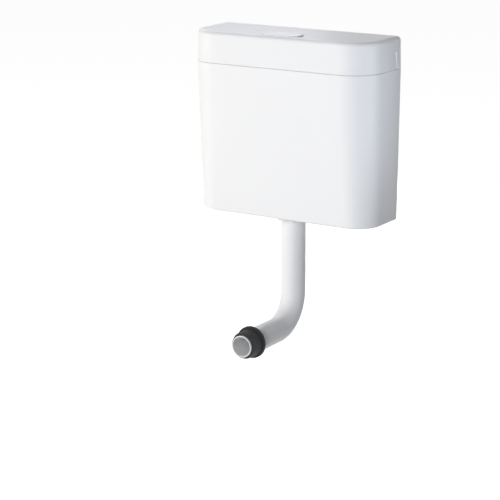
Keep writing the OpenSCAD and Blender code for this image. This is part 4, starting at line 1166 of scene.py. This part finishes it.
class CISTERN_OT_stage(bpy.types.Operator):
    """Studio: pale floor that keeps the shadow, white surroundings, a soft dome, lamps and the camera."""

    bl_idname = "cistern.stage"
    bl_label = "Studio"

    def execute(self, context):
        scene = context.scene
        studio = scene.cistern_studio
        scene.view_settings.view_transform = "Standard"
        self.world(scene, studio)
        self.floor(studio)
        self.lamps(studio)
        self.camera(scene, studio)
        return {"FINISHED"}

    def lamps(self, studio):
        """Large lamps in front and on the left, smaller ones above, on the right and behind."""
        part, lid, side = (0, -0.07, -0.1), (-0.05, -0.07, 0.09), (0.2, -0.09, 0)
        soft_lamp("front", (0.68, -3.95, 0.6), part, (2, 2), studio.front, (0.91, 0.945, 1))
        soft_lamp("left", (-3.23, -2.33, 0.6), part, (2, 2), studio.left, (1, 0.935, 0.84))
        soft_lamp("upper", (-1, 1, 0.9), lid, (0.9, 0.9), studio.upper, (0.83, 0.865, 1), mirrored=True)
        soft_lamp("right", (0.34, -0.1, 0), side, (0.05, 0.4), studio.right, (0.83, 0.89, 1))
        soft_lamp("back", (-0.4, 3, -0.45), part, (0.7, 0.7), studio.back, (1, 1, 1))

    def world(self, scene, studio):
        """Weak dome for the light, and plain white wherever the surroundings are seen."""
        scene.world = bpy.data.worlds.new("studio")
        scene.world.use_nodes = True
        tree = scene.world.node_tree
        tree.nodes.clear()
        dome = add(tree, "Background", {"Color": (0.97, 0.985, 1, 1), "Strength": studio.dome})
        white = add(tree, "Background", {"Color": (1, 1, 1, 1), "Strength": 1})
        mix = add(tree, "MixShader", {"Fac": self.seen(tree), 1: dome.outputs[0], 2: white.outputs[0]})
        add(tree, "OutputWorld", {"Surface": mix.outputs[0]})

    def seen(self, tree):
        """1 for camera, glossy and transmission rays."""
        path = add(tree, "LightPath").outputs
        some = maths(tree, "MAXIMUM", path["Is Camera Ray"], path["Is Glossy Ray"])
        return maths(tree, "MAXIMUM", some, path["Is Transmission Ray"])

    def floor(self, studio):
        """Wide floor with a pale paint, and a glow of its own wherever it is seen."""
        half, z = 30 / MM, studio.floor_level / MM
        corners = [(-half, -half, z), (half, -half, z), (half, half, z), (-half, half, z)]
        floor = put_mesh("studio_floor", corners, [(0, 1, 2, 3)])
        mat = bpy.data.materials.new("pale_floor")
        mat.use_nodes = True
        tree = mat.node_tree
        tree.nodes.clear()
        paint = add(tree, "BsdfDiffuse", {"Color": (0.8, 0.8, 0.8, 1)})
        strength = maths(tree, "MULTIPLY", self.seen(tree), studio.glow)
        glow = add(tree, "Emission", {"Color": (1, 1, 1, 1), "Strength": strength})
        both = add(tree, "AddShader", {0: paint.outputs[0], 1: glow.outputs[0]})
        add(tree, "OutputMaterial", {"Surface": both.outputs[0]})
        floor.data.materials.append(mat)

    def camera(self, scene, studio):
        """Camera with the photo's view of the part."""
        data = bpy.data.cameras.new("photo_view")
        data.lens = studio.lens
        data.sensor_width = 36
        data.clip_end = 100
        scene.camera = bpy.data.objects.new("photo_view", data)
        face(scene.camera, (1.84205, -3.17554, 0.58546), (0.0455, -0.3027, -0.2915))


class CISTERN_PT_panel(bpy.types.Panel):
    """Sidebar panel with the operators in their order."""

    bl_label = "Cistern"
    bl_idname = "CISTERN_PT_panel"
    bl_space_type = "VIEW_3D"
    bl_region_type = "UI"
    bl_category = "Cistern"

    def draw(self, context):
        for operator in OPERATORS:
            self.layout.operator(operator.bl_idname)


OPERATORS = (
    CISTERN_OT_tank,
    CISTERN_OT_lid,
    CISTERN_OT_button,
    CISTERN_OT_liner,
    CISTERN_OT_fill_float,
    CISTERN_OT_flush_pipe,
    CISTERN_OT_inlet,
    CISTERN_OT_screws,
    CISTERN_OT_finishes,
    CISTERN_OT_stage,
)
GROUPS = {"cistern_sizes": CisternSizes, "cistern_finish": CisternFinish, "cistern_studio": CisternStudio}


def register():
    for cls in (*GROUPS.values(), *OPERATORS, CISTERN_PT_panel):
        bpy.utils.register_class(cls)
    for name, group in GROUPS.items():
        setattr(bpy.types.Scene, name, PointerProperty(type=group))


def unregister():
    for name in GROUPS:
        delattr(bpy.types.Scene, name)
    for cls in reversed((*GROUPS.values(), *OPERATORS, CISTERN_PT_panel)):
        bpy.utils.unregister_class(cls)


def main():
    register()
    for operator in OPERATORS:
        group, name = operator.bl_idname.split(".")
        getattr(getattr(bpy.ops, group), name)()


if __name__ == "__main__":
    main()
